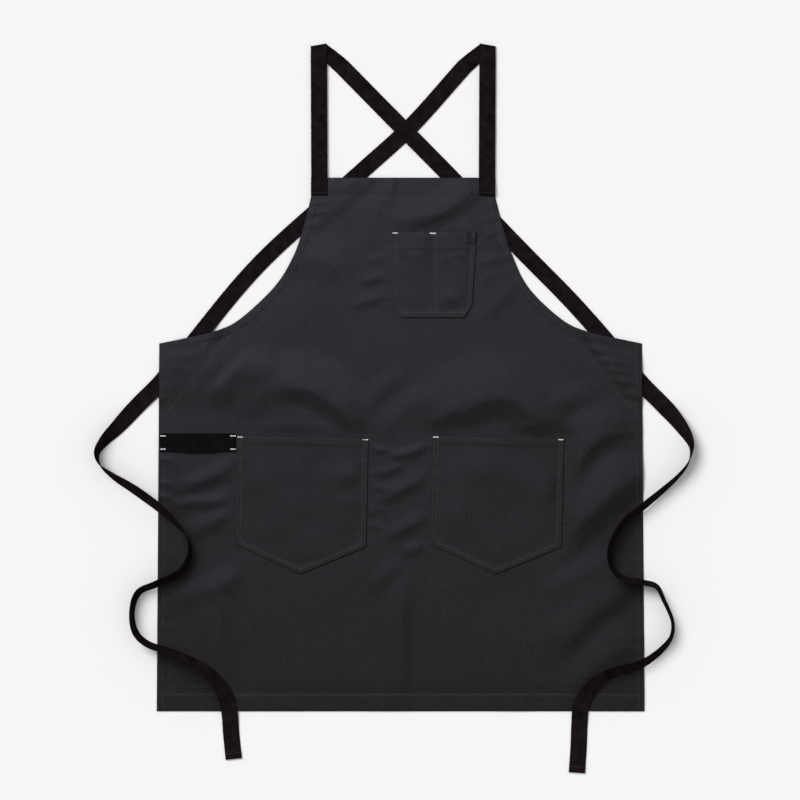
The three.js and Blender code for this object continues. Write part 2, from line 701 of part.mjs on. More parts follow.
// Sections of one whole strap: sewn on the bib, over the shoulder fold, across the back, through the
// casing and out as a waist tie
function strapSections(plan) {
  const { side, foot, shoulder, exit, points } = plan;
  const sections = [];
  const lowMiddle = webThickness / 2;
  const highMiddle = lowMiddle + webThickness + 2 * clearance + 0.2;
  const addSection = (x, y, z, across, thickness = webThickness) => {
    sections.push({ middle: new THREE.Vector3(x, y, z), across, thickness });
  };
  const acrossUpward = new THREE.Vector3(-1, 0, 0);
  const acrossFold = new THREE.Vector3(-Math.cos(degToRad(foldSlant)), side * Math.sin(degToRad(foldSlant)), 0);

  // From the sewn end up to the shoulder
  const low = bibHeight - strapSewn;
  const risingSteps = 16;
  for (let k = 0; k < risingSteps; k++) {
    const share = k / risingSteps;
    const y = low + (shoulder.y - low) * share;
    const x = THREE.MathUtils.lerp(foot, shoulder.x, share);
    const onBib = panel.highestNear(x, Math.min(y, bibHeight - 1), webWidth / 2) + clearance + webThickness / 2;
    const z = THREE.MathUtils.lerp(onBib, highMiddle, smoothstep(y, bibHeight + 10, shoulder.y - 30));
    const turned = smoothstep(y, shoulder.y - 30, shoulder.y);
    const across = acrossUpward.clone().lerp(acrossFold, turned).normalize();
    addSection(x, y, z, across);
  }

  // Over the fold
  const outward = new THREE.Vector3(side * Math.sin(degToRad(foldSlant)), Math.cos(degToRad(foldSlant)), 0);
  const foldRadius = (highMiddle - lowMiddle) / 2;
  const foldSteps = 6;
  for (let k = 0; k <= foldSteps; k++) {
    const angle = Math.PI * k / foldSteps;
    const reach = foldRadius * Math.sin(angle);
    const z = lowMiddle + foldRadius * (1 + Math.cos(angle));
    addSection(shoulder.x + outward.x * reach, shoulder.y + outward.y * reach, z, acrossFold);
  }

  // Along the plan, flat behind the bib and through the casing, then standing on an edge as a tie
  const turnSteps = 3;
  const tangent = new THREE.Vector3();
  const rightHand = new THREE.Vector3();
  const planAcross = (k) => {
    const before = points[Math.max(k - 1, 0)];
    const after = points[Math.min(k + 1, points.length - 1)];
    tangent.set(after.x - before.x, after.y - before.y, 0).normalize();
    rightHand.crossVectors(tangent, UP);
    const lean = degToRad(points[k].z);
    return rightHand.clone().multiplyScalar(Math.cos(lean)).addScaledVector(UP, side * Math.sin(lean));
  };
  const firstAcross = planAcross(0);
  for (let k = 1; k < turnSteps; k++) {
    const share = k / turnSteps;
    const across = acrossFold.clone().lerp(firstAcross, share).normalize();
    const x = THREE.MathUtils.lerp(shoulder.x, points[0].x, share);
    const y = THREE.MathUtils.lerp(shoulder.y, points[0].y, share);
    addSection(x, y, lowMiddle, across);
  }
  const lastPoint = points[points.length - 1];
  points.forEach((point, k) => {
    const across = planAcross(k);
    const lean = degToRad(point.z);
    const pastExit = -side * point.x > -side * exit.x || point.y < exit.y - webWidth;
    const underside = pastExit && point.y < exit.y
      ? Math.max(tieUnderside(point, plan), 0)
      : strapUnderside(point.x, point.y, plan);
    const z = underside + Math.abs(Math.sin(lean)) * webWidth / 2 + Math.abs(Math.cos(lean)) * webThickness / 2;
    const toEnd = Math.hypot(point.x - lastPoint.x, point.y - lastPoint.y);
    const inHem = k > points.length / 2 && toEnd < tieHem;
    addSection(point.x, point.y, inHem ? z + webThickness / 2 : z, across, inHem ? 2 * webThickness : webThickness);
  });
  return sections;
}

// The two parts of a strap, which meet inside its casing: the shoulder strap and the waist tie
function strapParts(plan) {
  const sections = strapSections(plan);
  const centre = plan.entry.clone().add(plan.exit).multiplyScalar(0.5);
  const away = ({ middle }) => Math.hypot(middle.x - centre.x, middle.y - centre.y);
  let joint = 0;
  sections.forEach((section, k) => {
    if (away(section) < away(sections[joint])) joint = k;
  });
  const shoulderStrap = sections.slice(0, joint + 1);
  const waistTie = sections.slice(joint);
  const apart = new THREE.Vector3().subVectors(waistTie[1].middle, waistTie[0].middle).setLength(clearance);
  waistTie[0] = { ...waistTie[0], middle: waistTie[0].middle.clone().add(apart) };
  return { shoulderStrap, waistTie };
}

// Just outside the casing the tie comes down from it; further on it rests on the panel or the surface
function tieUnderside(point, plan) {
  const fromExit = Math.hypot(point.x - plan.exit.x, point.y - plan.exit.y);
  const leavingCasing = strapUnderside(point.x, point.y, plan);
  const resting = tieSupport(point.x, point.y);
  return THREE.MathUtils.lerp(leavingCasing, resting, smoothstep(fromExit, 60, 110));
}

// A casing: a band of cloth behind the waist's corner, cut along the armhole and the side edge, and at
// most casingSpare longer at each end than the strap's straight way through it
function casingMesh(name, plan) {
  const direction = new THREE.Vector2().subVectors(plan.entry, plan.exit).normalize();
  const sideways = new THREE.Vector2(-direction.y, direction.x);
  const centre = plan.entry.clone().add(plan.exit).multiplyScalar(0.5);
  const insetAlong = casingInset / Math.min(Math.abs(direction.x), Math.abs(direction.y));
  const corners = [];
  const walkStep = 0.5;
  const farthest = casingReach / 2 + casingSpare;
  const walk = (offset, sense) => {
    const place = centre.clone().addScaledVector(sideways, offset);
    for (let way = 0; way < farthest && outsidePanel(place.x, place.y) < 0; way += walkStep) {
      place.addScaledVector(direction, sense * walkStep);
    }
    return place.addScaledVector(direction, -sense * insetAlong);
  };
  const cuts = 4;
  for (let k = 0; k <= cuts; k++) corners.push(walk(casingWidth * (k / cuts - 0.5), 1));
  for (let k = cuts; k >= 0; k--) corners.push(walk(casingWidth * (k / cuts - 0.5), -1));
  const shape = new THREE.Shape(corners);
  const geometry = new THREE.ExtrudeGeometry(shape, { depth: clothThickness, bevelEnabled: false });
  const mesh = new THREE.Mesh(geometry, new THREE.MeshStandardMaterial(clothFinish));
  mesh.name = name;
  return mesh;
}

const fromLeft = strapParts(planFromLeft);
const fromRight = strapParts(planFromRight);
const apron = new THREE.Group();
apron.add(
  panel.mesh('apron_panel', clothFinish),
  chestPocket.mesh('chest_pocket', pocketFinish),
  tagSheet().mesh('pocket_tag', tagFinish),
  hipPocketLeft.mesh('hip_pocket_left', pocketFinish),
  hipPocketRight.mesh('hip_pocket_right', pocketFinish),
  webbingMesh('towel_loop', loopSections(), loopWidth, webFinish),
  casingMesh('casing_right', planFromLeft),
  casingMesh('casing_left', planFromRight),
  webbingMesh('shoulder_strap_left', fromLeft.shoulderStrap, webWidth, webFinish),
  webbingMesh('shoulder_strap_right', fromRight.shoulderStrap, webWidth, webFinish),
  webbingMesh('waist_tie_left', fromRight.waistTie, webWidth, webFinish),
  webbingMesh('waist_tie_right', fromLeft.waistTie, webWidth, webFinish),
);

// Centre the whole apron over the origin, with its lowest point on z = 0
const extent = new THREE.Box3().setFromObject(apron, true);
apron.position.set(-(extent.min.x + extent.max.x) / 2, -(extent.min.y + extent.max.y) / 2, -extent.min.z);

const group = new THREE.Group();
group.add(apron);
group.updateMatrixWorld(true);

export default group;
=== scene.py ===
import math

import bpy
import numpy as np
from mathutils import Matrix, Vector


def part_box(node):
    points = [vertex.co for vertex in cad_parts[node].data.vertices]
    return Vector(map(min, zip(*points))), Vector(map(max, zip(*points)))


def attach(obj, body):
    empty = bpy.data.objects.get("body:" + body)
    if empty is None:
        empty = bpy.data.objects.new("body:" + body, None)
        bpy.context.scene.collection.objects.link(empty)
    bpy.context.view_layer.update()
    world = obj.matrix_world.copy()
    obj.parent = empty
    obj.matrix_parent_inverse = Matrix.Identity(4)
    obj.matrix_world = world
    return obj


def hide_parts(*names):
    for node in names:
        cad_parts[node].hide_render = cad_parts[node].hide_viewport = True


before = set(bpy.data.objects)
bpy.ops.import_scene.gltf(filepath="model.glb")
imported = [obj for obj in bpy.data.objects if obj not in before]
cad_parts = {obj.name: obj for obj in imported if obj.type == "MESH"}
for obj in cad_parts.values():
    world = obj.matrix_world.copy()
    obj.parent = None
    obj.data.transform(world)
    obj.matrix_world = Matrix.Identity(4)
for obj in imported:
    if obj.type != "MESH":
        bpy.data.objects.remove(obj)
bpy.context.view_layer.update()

# A cross back apron in charcoal cotton twill, laid out with its front up. Its black webbing straps fold
# over at the shoulders, cross behind the bib, run through casings and end as waist ties.
# Sizes are in millimetres until a mesh is made. The waist line is y = 0, the skirt's middle x = 0.
MM = 0.001
SEED = 11

# Thickness of cloth and webbing, and the space left where pieces touch
CLOTH = 1.0
HEM = 1.8
WEB = 1.5
GAP = 0.3

# Skirt and bib
SKIRT_WIDTH = 748
SKIRT_FLARE = 4
SKIRT_LENGTH = 570
SIDE_HEM = 10
BOTTOM_HEM = 26
BIB_WIDTH = 286
BIB_HEIGHT = 257
BIB_STRAIGHT = 31
BIB_OFFSET = 4
TOP_HEM = 24
ARMHOLE_DOWN = (0, 0.18, 0.4, 0.62, 0.84, 0.92, 0.96, 1)
ARMHOLE_OUT = (0, 0.045, 0.116, 0.239, 0.47, 0.641, 0.81, 1)

# Chest pocket with its pen slot, and the bare tag on it
CHEST_WIDTH = 131
CHEST_TAPER = 7
CHEST_DEPTH = 133
CHEST_DROP = 84
CHEST_OFFSET = 48.5
CHEST_HEM = 25
CHEST_CORNER_WIDTH = 14
CHEST_CORNER_HEIGHT = 21
PEN_SLOT = 63
CHEST_BOW = 3
TAG = 17

# Hip pockets
HIP_WIDTH = 203
HIP_SIDE = 168
HIP_POINT = 44
HIP_DROP = 145
HIP_GAP = 100
HIP_TURN = -1.2
HIP_HEM = 10
HIP_BOW = 4
TURNED_EDGE = 8

# Rows of stitches that hold a label on the back: left, top, width and height
LABEL_BEHIND = (-357, -475, 58, 57)

# Towel loop
LOOP_WIDTH = 28.5
LOOP_DROP = 153.5
LOOP_BOW = 4
LOOP_SEWN = 10

# Straps and casings
WEB_WIDTH = 25.4
STRAP_SEWN = 27
STRAP_RISE = 204
STRAP_INSET = 0.6
STRAP_LEAN = 2
FOLD_SLANT = 10
FOLD_TURN_IN = 36
FOLD_TURN_DOWN = 0.89
DIAGONAL_BOW = 12.8
TIE_HEM = 11
CASING_WIDTH = 40
CASING_INSET = 7
CASING_ANGLE = 39.5
CASING_REACH = 85
CASING_SPARE = 26
CASING_MARGIN = 5
CASING_BAND = 18
SIDE_EXIT = 63
LIFT_SLOPE = 30
TIE_REACH = 95
TIE_DROP = 602

# Each strap behind the bib: a share of the way from the shoulder to the casing, and a share of its bow
DIAGONAL_FROM_LEFT = ((0.27, 0.3), (0.42, 0.36), (0.7, 0.28), (0.87, 0.31))
DIAGONAL_FROM_RIGHT = ((0.27, -0.26), (0.42, 0.11), (0.7, 1), (0.79, 0.98), (0.87, 0.7))

# Waist ties: a share of TIE_REACH out from the side edge, a share of TIE_DROP down from where the tie
# comes out, and how far the webbing stands up from flat, in degrees
TIE_ON_THE_LEFT = (
    (0.331, 0.0515, 0), (0.69, 0.113, 32), (0.878, 0.144, 52), (1.003, 0.175, 72),
    (0.967, 0.206, 92), (0.739, 0.237, 112), (0.429, 0.268, 122), (0.021, 0.314, 122),
    (-0.223, 0.3475, 113), (-0.468, 0.394, 92), (-0.501, 0.4376, 76), (-0.37, 0.479, 69),
    (0.0375, 0.5135, 66), (0.331, 0.5354, 69), (0.437, 0.587, 76), (0.38, 0.638, 73),
    (0.209, 0.6654, 72), (-0.2235, 0.69, 69), (-0.566, 0.7156, 60), (-0.892, 0.754, 45),
    (-1.08, 0.8005, 22), (-1.145, 0.8417, 3), (-1.175, 0.9035, 0), (-1.215, 0.9647, 0),
)
TIE_ON_THE_RIGHT = (
    (0.328, 0.0515, 0), (0.507, 0.0824, 24), (0.654, 0.113, 42), (0.768, 0.144, 64),
    (0.801, 0.17, 84), (0.736, 0.206, 98), (0.581, 0.2368, 105), (0.369, 0.2677, 111),
    (0.034, 0.3115, 117), (-0.276, 0.35, 115), (-0.471, 0.394, 109), (-0.545, 0.44, 107),
    (-0.488, 0.4736, 107), (-0.341, 0.4968, 107), (0.018, 0.5097, 107), (0.23, 0.52, 106),
    (0.352, 0.556, 104), (0.491, 0.61, 103), (0.483, 0.6435, 106), (0.377, 0.6718, 113),
    (0.029, 0.7156, 123), (-0.5857, 0.749, 137), (-0.847, 0.7825, 155), (-0.993, 0.8263, 175),
    (-1.018, 0.87, 180), (-1.034, 0.937, 180), (-1.062, 1, 180),
)

# Where the waist line and the skirt's middle lie in the frame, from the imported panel's lowest corner
panel_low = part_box("apron_panel")[0]
SHIFT = np.array([
    panel_low.x / MM + SKIRT_WIDTH / 2 + SKIRT_FLARE,
    panel_low.y / MM + SKIRT_LENGTH,
    0,
])


def smoothstep(value, low, high):
    share = np.clip((np.asarray(value, float) - low) / (high - low), 0, 1)
    return share * share * (3 - 2 * share)


def lerp(low, high, share):
    return low + (high - low) * share


def unit(vectors):
    return vectors / np.linalg.norm(vectors, axis=-1, keepdims=True)


def lengths_along(line):
    """How far along a line of points each point lies."""
    return np.concatenate([[0], np.cumsum(np.linalg.norm(np.diff(line, axis=0), axis=1))])


def in_box_round(line, margin, x, y):
    """Which places lie in the box round a line, widened by a margin."""
    low = line.min(0) - margin
    high = line.max(0) + margin
    return (x > low[0]) & (x < high[0]) & (y > low[1]) & (y < high[1])


def beside_line(x, y, line):
    """Distance from places to a line of points, how far along it the nearest point lies, and the side:
    1 on the line's left hand, -1 on its right."""
    x = np.asarray(x, float)
    start = line[:-1]
    step = line[1:] - start
    length = np.maximum(np.linalg.norm(step, axis=1), 1e-9)
    along = np.concatenate([[0], np.cumsum(length)])[:-1]
    places = np.stack([np.ravel(x), np.ravel(y)], 1)
    distance = np.empty(len(places))
    reach = np.empty(len(places))
    side = np.empty(len(places))
    batch = 4000
    for first in range(0, len(places), batch):
        part = places[first:first + batch]
        away = part[:, None] - start[None]
        share = np.clip((away * step).sum(2) / length ** 2, 0, 1)
        gap = np.linalg.norm(away - share[..., None] * step, axis=2)
        nearest = gap.argmin(1)
        rows = np.arange(len(part))
        distance[first:first + batch] = gap[rows, nearest]
        reach[first:first + batch] = along[nearest] + share[rows, nearest] * length[nearest]
        to_place = away[rows, nearest]
        turn = step[nearest, 0] * to_place[:, 1] - step[nearest, 1] * to_place[:, 0]
        side[first:first + batch] = np.where(turn >= 0, 1, -1)
    return distance.reshape(x.shape), reach.reshape(x.shape), side.reshape(x.shape)


def near_line(x, y, line):
    """Distance from places to a line of points, and how far along it the nearest point lies."""
    return beside_line(x, y, line)[:2]


def resample(line, pitch):
    """The same line with its points a pitch apart."""
    along = lengths_along(line)
    count = max(2, int(round(along[-1] / pitch)) + 1)
    places = np.linspace(0, along[-1], count)
    return np.stack([np.interp(places, along, line[:, k]) for k in range(line.shape[1])], 1)


def spline(knots, power, per_span=24):
    """A Catmull-Rom curve through knots. power 0 is uniform, 0.5 centripetal."""
    knots = np.asarray(knots, float)
    if power:
        padded = np.vstack([2 * knots[0] - knots[1], knots, 2 * knots[-1] - knots[-2]])
    else:
        padded = np.vstack([knots[0], knots, knots[-1]])
    points = []
    for p0, p1, p2, p3 in zip(padded, padded[1:], padded[2:], padded[3:]):
        d0, d1, d2 = (max(np.linalg.norm(b - a), 1e-9) ** power for a, b in ((p0, p1), (p1, p2), (p2, p3)))
        if power:
            leave = ((p1 - p0) / d0 - (p2 - p0) / (d0 + d1) + (p2 - p1) / d1) * d1
            arrive = ((p2 - p1) / d1 - (p3 - p1) / (d1 + d2) + (p3 - p2) / d2) * d1
        else:
            leave = (p2 - p0) / 2
            arrive = (p3 - p1) / 2
        for share in np.arange(per_span) / per_span:
            square = share * share
            cube = square * share
            points.append(
                p1 * (2 * cube - 3 * square + 1) + leave * (cube - 2 * square + share)
                + p2 * (3 * square - 2 * cube) + arrive * (cube - square)
            )
    points.append(knots[-1])
    return np.array(points)


# Outline of the panel: the right armhole's edge from the bib down to the waist's corner
bib_side = BIB_WIDTH / 2
skirt_side = SKIRT_WIDTH / 2
armhole_height = BIB_HEIGHT - BIB_STRAIGHT
armhole = spline([
    (bib_side + out * (skirt_side - bib_side), armhole_height * (1 - down))
    for down, out in zip(ARMHOLE_DOWN, ARMHOLE_OUT)
], 0)
outline_y = np.concatenate([[-SKIRT_LENGTH], armhole[::-1, 1], [BIB_HEIGHT]])
outline_half = np.concatenate([[skirt_side + SKIRT_FLARE], armhole[::-1, 0], [bib_side]])


def middle_at(y):
    return BIB_OFFSET * smoothstep(y, BIB_HEIGHT * 0.23, BIB_HEIGHT * 0.58)


def edges_at(y):
    half = np.interp(y, outline_y, outline_half)
    return middle_at(y) - half, middle_at(y) + half


def outside_panel(x, y):
    left, right = edges_at(y)
    return np.maximum.reduce([left - x, x - right, y - BIB_HEIGHT, -SKIRT_LENGTH - y])


def side_line(side, inset=0.0, top=BIB_HEIGHT, bottom=-SKIRT_LENGTH):
    """The panel's left or right edge from top to bottom, moved in by an inset."""
    heights = np.concatenate([[BIB_HEIGHT], armhole[:, 1], [-SKIRT_LENGTH]])
    halves = np.concatenate([[bib_side], armhole[:, 0], [skirt_side + SKIRT_FLARE]])
    line = resample(np.stack([middle_at(heights) + side * halves, heights], 1), 4)
    if inset:
        along = unit(np.gradient(line, axis=0))
        line = line + inset * side * np.stack([along[:, 1], -along[:, 0]], 1)
    return line[(line[:, 1] <= top) & (line[:, 1] >= bottom)]


panel_edge = np.vstack([side_line(-1), side_line(1)[::-1], side_line(-1)[:1]])


# Straps in plan

def strap_plan(side, diagonal, tie):
    """Plan of the strap from one shoulder (side -1 left, 1 right) to the waist's other side."""
    foot = BIB_OFFSET + side * (BIB_WIDTH / 2 - STRAP_INSET - WEB_WIDTH / 2)
    shoulder = np.array([foot + side * STRAP_LEAN / 2, BIB_HEIGHT + STRAP_RISE])
    exit_x = -side * (SKIRT_WIDTH / 2 + SKIRT_FLARE * SIDE_EXIT / SKIRT_LENGTH)
    leaving = np.array([exit_x, -SIDE_EXIT])
    angle = math.radians(CASING_ANGLE)
    entry = leaving + CASING_REACH * np.array([side * math.sin(angle), math.cos(angle)])
    start = shoulder - np.array([side * FOLD_TURN_IN, FOLD_TURN_IN * FOLD_TURN_DOWN])
    chord = entry - shoulder
    bow = unit(np.array([side * chord[1], -side * chord[0]]))
    if bow[0] * -side < 0:
        bow = -bow
    knots = [(*start, 0)]
    for along, share in diagonal:
        knots.append((*(shoulder + along * chord + share * DIAGONAL_BOW * bow), 0))
    knots += [(*entry, 0), (*((entry + leaving) / 2), 0), (*leaving, 0)]
    for out, down, lean in tie:
        knots.append((-side * (SKIRT_WIDTH / 2 + out * TIE_REACH), -SIDE_EXIT - down * TIE_DROP, lean))
    curve = spline(knots, 0.5)
    length = lengths_along(curve[:, :2])
    places = np.linspace(0, length[-1], int(length[-1] / 3))
    points = np.stack([np.interp(places, length, curve[:, k]) for k in range(3)], 1)
    points[:, 2] = np.clip(points[:, 2], 0, 180)
    return {"side": side, "foot": foot, "shoulder": shoulder, "entry": entry, "exit": leaving,
            "points": points}


plan_from_left = strap_plan(-1, DIAGONAL_FROM_LEFT, TIE_ON_THE_RIGHT)
plan_from_right = strap_plan(1, DIAGONAL_FROM_RIGHT, TIE_ON_THE_LEFT)
behind_left = plan_from_left["points"][plan_from_left["points"][:, 1] > BIB_HEIGHT][:, :2]
gap_to_left, _ = near_line(
    plan_from_right["points"][:, 0], plan_from_right["points"][:, 1], behind_left)
crossing = plan_from_right["points"][gap_to_left.argmin(), :2]


def strap_underside(x, y, plan):
    """Height of a strap's underside between the shoulder fold and the side edge."""
    to_casing, _ = near_line(x, y, np.array([plan["entry"], plan["exit"]]))
    level = CASING_SPARE + CASING_MARGIN
    on_casing = (CLOTH + GAP) * (1 - smoothstep(to_casing, level, level + LIFT_SLOPE))
    if plan["side"] > 0:
        return on_casing
    to_crossing = np.hypot(x - crossing[0], y - crossing[1])
    on_other = (WEB + GAP) * (1 - smoothstep(to_crossing, WEB_WIDTH, WEB_WIDTH + LIFT_SLOPE))
    return np.maximum(on_casing, on_other)


def hidden_line(plan):
    """The strap's plan where the panel lies over it."""
    points = plan["points"]
    hidden = outside_panel(points[:, 0], points[:, 1]) < WEB_WIDTH
    hidden &= points[:, 1] < BIB_HEIGHT + WEB_WIDTH
    hidden &= points[:, 1] > plan["exit"][1] - WEB_WIDTH / 2
    return points[hidden, :2]


hidden_lines = [(plan, hidden_line(plan)) for plan in (plan_from_left, plan_from_right)]


def over_straps(x, y):
    """How far the straps behind it lift the panel."""
    lift = np.zeros(np.shape(x))
    for plan, line in hidden_lines:
        away = near_line(x, y, line)[0] - WEB_WIDTH / 2
        top = strap_underside(x, y, plan) + WEB + GAP
        lift = np.maximum(lift, top * (1 - smoothstep(away, 2, 20)))
    return lift


# Folds and wrinkles of the cloth

# Soft folds as ridges along paths that run from left to right, or upwards: the path's points, its height,
# and how wide the ridge spreads on its left hand, where the light comes from, and on its right hand
FOLDS = (
    # Across the left side of the waist
    (((-227, 2), (-244, -29), (-264, -49), (-285, -72), (-305, -103)), 7.4, 46, 15),
    (((-271, 9), (-311, -50), (-357, -103)), 3, 36, 34),
    (((-202, 5), (-218, -44), (-232, -84), (-252, -122)), 3.6, 34, 26),
    (((-233, -88), (-184, -71), (-144, -72), (-109, -91), (-82, -115), (-47, -156)), 8, 64, 28),
    (((-255, -136), (-195, -133), (-130, -133), (-75, -139)), 1.6, 18, 9),
    (((-60, -112), (-35, -78), (-10, -58), (24, -41)), 1.8, 26, 20),
    (((-51, -159), (-13, -120), (18, -94), (61, -69)), 2.4, 28, 28),
    # The arch above the right pocket
    (((36, -165), (56, -134), (77, -108), (98, -103), (120, -92), (159, -84), (184, -92),
      (202, -108), (228, -129), (275, -162)), 9.5, 84, 40),
    (((55, -134), (73, -109), (101, -94)), 1.5, 20, 12),
    (((176, -150), (190, -131), (204, -129), (219, -139), (238, -150)), 3, 9, 11),
    # Across the right side
    (((232, -112), (256, -89), (284, -80), (315, -84)), 2.5, 28, 24),
    (((219, -274), (250, -221), (273, -190), (295, -159), (317, -143), (343, -139),
      (396, -165)), 7.6, 62, 27),
    (((216, -339), (269, -288), (306, -252), (343, -221), (408, -177)), 8.6, 68, 34),
    (((216, -407), (263, -370), (309, -345), (362, -329)), 3, 30, 34),
    (((216, -515), (275, -444), (325, -398), (396, -351)), 4.8, 60, 26),
    (((235, -568), (300, -503), (343, -469), (408, -438)), 3.2, 50, 34),
    # Between the left side edge and the left pocket
    (((-364, -233), (-303, -212), (-264, -193), (-227, -174)), 4.5, 22, 16),
    (((-370, -257), (-326, -247), (-292, -246), (-237, -232)), 3.2, 15, 14),
    (((-342, -305), (-288, -277), (-237, -255)), 3.5, 22, 18),
    (((-384, -177), (-345, -182)), 2.2, 6, 6),
    (((-384, -215), (-351, -219)), 2, 5, 5),
    (((-384, -235), (-351, -241)), 2, 5, 5),
    (((-384, -261), (-354, -266)), 2, 6, 6),
    # Between the hip pockets
    (((-69, -154), (-38, -164), (-13, -167)), 3.4, 9, 8),
    (((-26, -176), (15, -170), (64, -150)), 3.6, 13, 10),
    (((-51, -255), (-4, -230), (30, -213), (70, -190)), 3.4, 20, 14),
    (((-51, -202), (-20, -198), (11, -184)), 2.2, 10, 9),
    (((-38, -309), (15, -283), (67, -252)), 3.1, 20, 14),
    (((-1, -329), (36, -314), (70, -298)), 2.5, 14, 12),
    (((-63, -219), (-10, -227)), 2.2, 8, 8),
    (((-63, -252), (-16, -260)), 1.7, 7, 7),
    (((-63, -281), (-20, -288)), 1.7, 7, 7),
    # Below the pockets
    (((-261, -584), (-280, -491), (-278, -407), (-252, -317)), 5.8, 54, 32),
    (((-373, -413), (-319, -388), (-277, -373), (-237, -339)), 3.4, 26, 24),
    (((5, -577), (2, -475), (5, -398), (24, -336)), 4, 34, 20),
    (((-44, -388), (-20, -357), (11, -336)), 2.2, 20, 16),
    # On the bib
    (((-206, 126), (-140, 131), (-57, 114)), 3.4, 52, 42),
    (((-26, 151), (36, 187), (80, 213), (139, 257)), 5, 40, 22),
    (((-46, 126), (-41, 182), (-29, 244)), 2, 34, 24),
    (((-97, 235), (-75, 247), (-54, 258)), 1, 14, 9),
    (((-15, 210), (-12, 266)), 1.2, 14, 9),
    (((-147, 215), (-106, 218)), 0.9, 6, 6),
    (((-150, 201), (-106, 204)), 1.2, 7, 6),
    (((-153, 182), (-116, 187)), 0.9, 6, 6),
    (((-57, 128), (-4, 133)), 1.2, 12, 10),
    (((-69, 94), (-4, 108)), 1.9, 13, 11),
    (((-85, 55), (-44, 66), (-1, 80)), 1.9, 18, 13),
    (((108, 164), (151, 170)), 0.9, 7, 7),
    (((104, 117), (163, 136)), 1.4, 11, 10),
    (((104, 92), (148, 105)), 0.9, 8, 8),
    (((123, 30), (154, 64), (188, 95)), 1.3, 22, 16),
    # Gathers inside the casings
    (((287, -5), (328, -18)), 2.5, 7, 5),
    (((303, -22), (346, -35)), 3, 7, 5),
    (((314, -36), (356, -50)), 3, 7, 5),
    (((326, -52), (368, -67)), 3, 7, 5),
    (((343, -74), (377, -88)), 2.3, 7, 5),
    (((-306, 21), (-336, -21), (-370, -63)), 2.3, 8, 6),
)

# How round a fold's crest is on its shaded side, how steeply that side leaves it, and the share of its
# length over which a fold rises from each end
CREST_ROUND = 0.01
CREST_STEEPNESS = 1.4
FOLD_TAPER = 0.36


def folds(x, y):
    """Height of the listed folds."""
    height = np.zeros(np.shape(x))
    for path, rise, lit, shaded in FOLDS:
        line = spline(path, 0.5, 6)
        near = in_box_round(line, 1.3 * max(lit, shaded), x, y)
        if not near.any():
            continue
        distance, reach, side = beside_line(x[near], y[near], line)
        length = lengths_along(line)[-1]
        from_end = np.minimum(reach, length - reach)
        taper = smoothstep(from_end, 0, FOLD_TAPER * length)
        share = np.clip(distance / np.where(side > 0, lit, shaded), 0, 1)
        soft = (1 - share ** 2) ** 2
        sharp = (1 - np.sqrt((share ** 2 + CREST_ROUND) / (1 + CREST_ROUND))) ** CREST_STEEPNESS
        sharp /= (1 - math.sqrt(CREST_ROUND / (1 + CREST_ROUND))) ** CREST_STEEPNESS
        height[near] += rise * taper * np.where(side > 0, soft, sharp)
    return height


def plane_waves(x, y, shortest, longest, count, seed):
    """Waves in many directions added up, about -1 to 1."""
    rng = np.random.default_rng(seed)
    total = np.zeros(np.shape(x))
    for _ in range(count):
        turn = rng.uniform(0, math.pi)
        length = rng.uniform(shortest, longest)
        phase = rng.uniform(0, 2 * math.pi)
        total += np.sin((x * math.cos(turn) + y * math.sin(turn)) * 2 * math.pi / length + phase)
    return total / math.sqrt(count)


def pucker(distance, along, reach, seed):
    """Small waves along a seam, which die away with the distance from it."""
    rng = np.random.default_rng(seed)
    wave = np.zeros(np.shape(distance))
    for _ in range(5):
        wave += np.sin(along * 2 * math.pi / rng.uniform(9, 26) + rng.uniform(0, 2 * math.pi))
    return wave / 3 * np.exp(-distance / reach)


# Patches of the panel that the pockets lie on, where it stays smooth

def turned_place(across, down, middle_x, mouth_y, turn):
    cosine = math.cos(math.radians(turn))
    sine = math.sin(math.radians(turn))
    return middle_x + across * cosine + down * sine, mouth_y + across * sine - down * cosine


def pocket_outline(pocket):
    """The pocket's outline on the panel as a closed line of points."""
    half = pocket["width"] / 2
    stops = sorted({-half, half, *pocket["breaks"]})
    bottom = [(across, pocket["depth_at"](across)) for across in stops]
    corners = [(-half, 0), *bottom, (half, 0), (-half, 0)]
    return resample(np.array([pocket_place(pocket, a, d) for a, d in corners]), 3)


def pocket_place(pocket, across, down):
    depth = pocket["depth_at"](across)
    drawn_in = pocket["taper"] * across * 2 / pocket["width"] * down / depth
    drawn = np.where(np.asarray(across) > 0, drawn_in, 0)
    return turned_place(across - drawn, down, pocket["x"], pocket["y"], pocket["turn"])


def hip_pocket(side, folds_on_it, seed):
    half = HIP_WIDTH / 2
    return {
        "width": HIP_WIDTH, "taper": 0, "hem": HIP_HEM, "bow": HIP_BOW, "turn": HIP_TURN,
        "depth_at": lambda across: HIP_SIDE + HIP_POINT * (1 - np.abs(across) / half),
        "breaks": [0], "seams": [], "x": side * (HIP_GAP + HIP_WIDTH) / 2, "y": -HIP_DROP,
        "folds": folds_on_it, "seed": seed,
    }


def chest_depth(across):
    corner_start = CHEST_WIDTH / 2 - CHEST_CORNER_WIDTH
    into_corner = np.maximum(0, np.abs(across) - corner_start) / CHEST_CORNER_WIDTH
    return CHEST_DEPTH - CHEST_CORNER_HEIGHT * into_corner


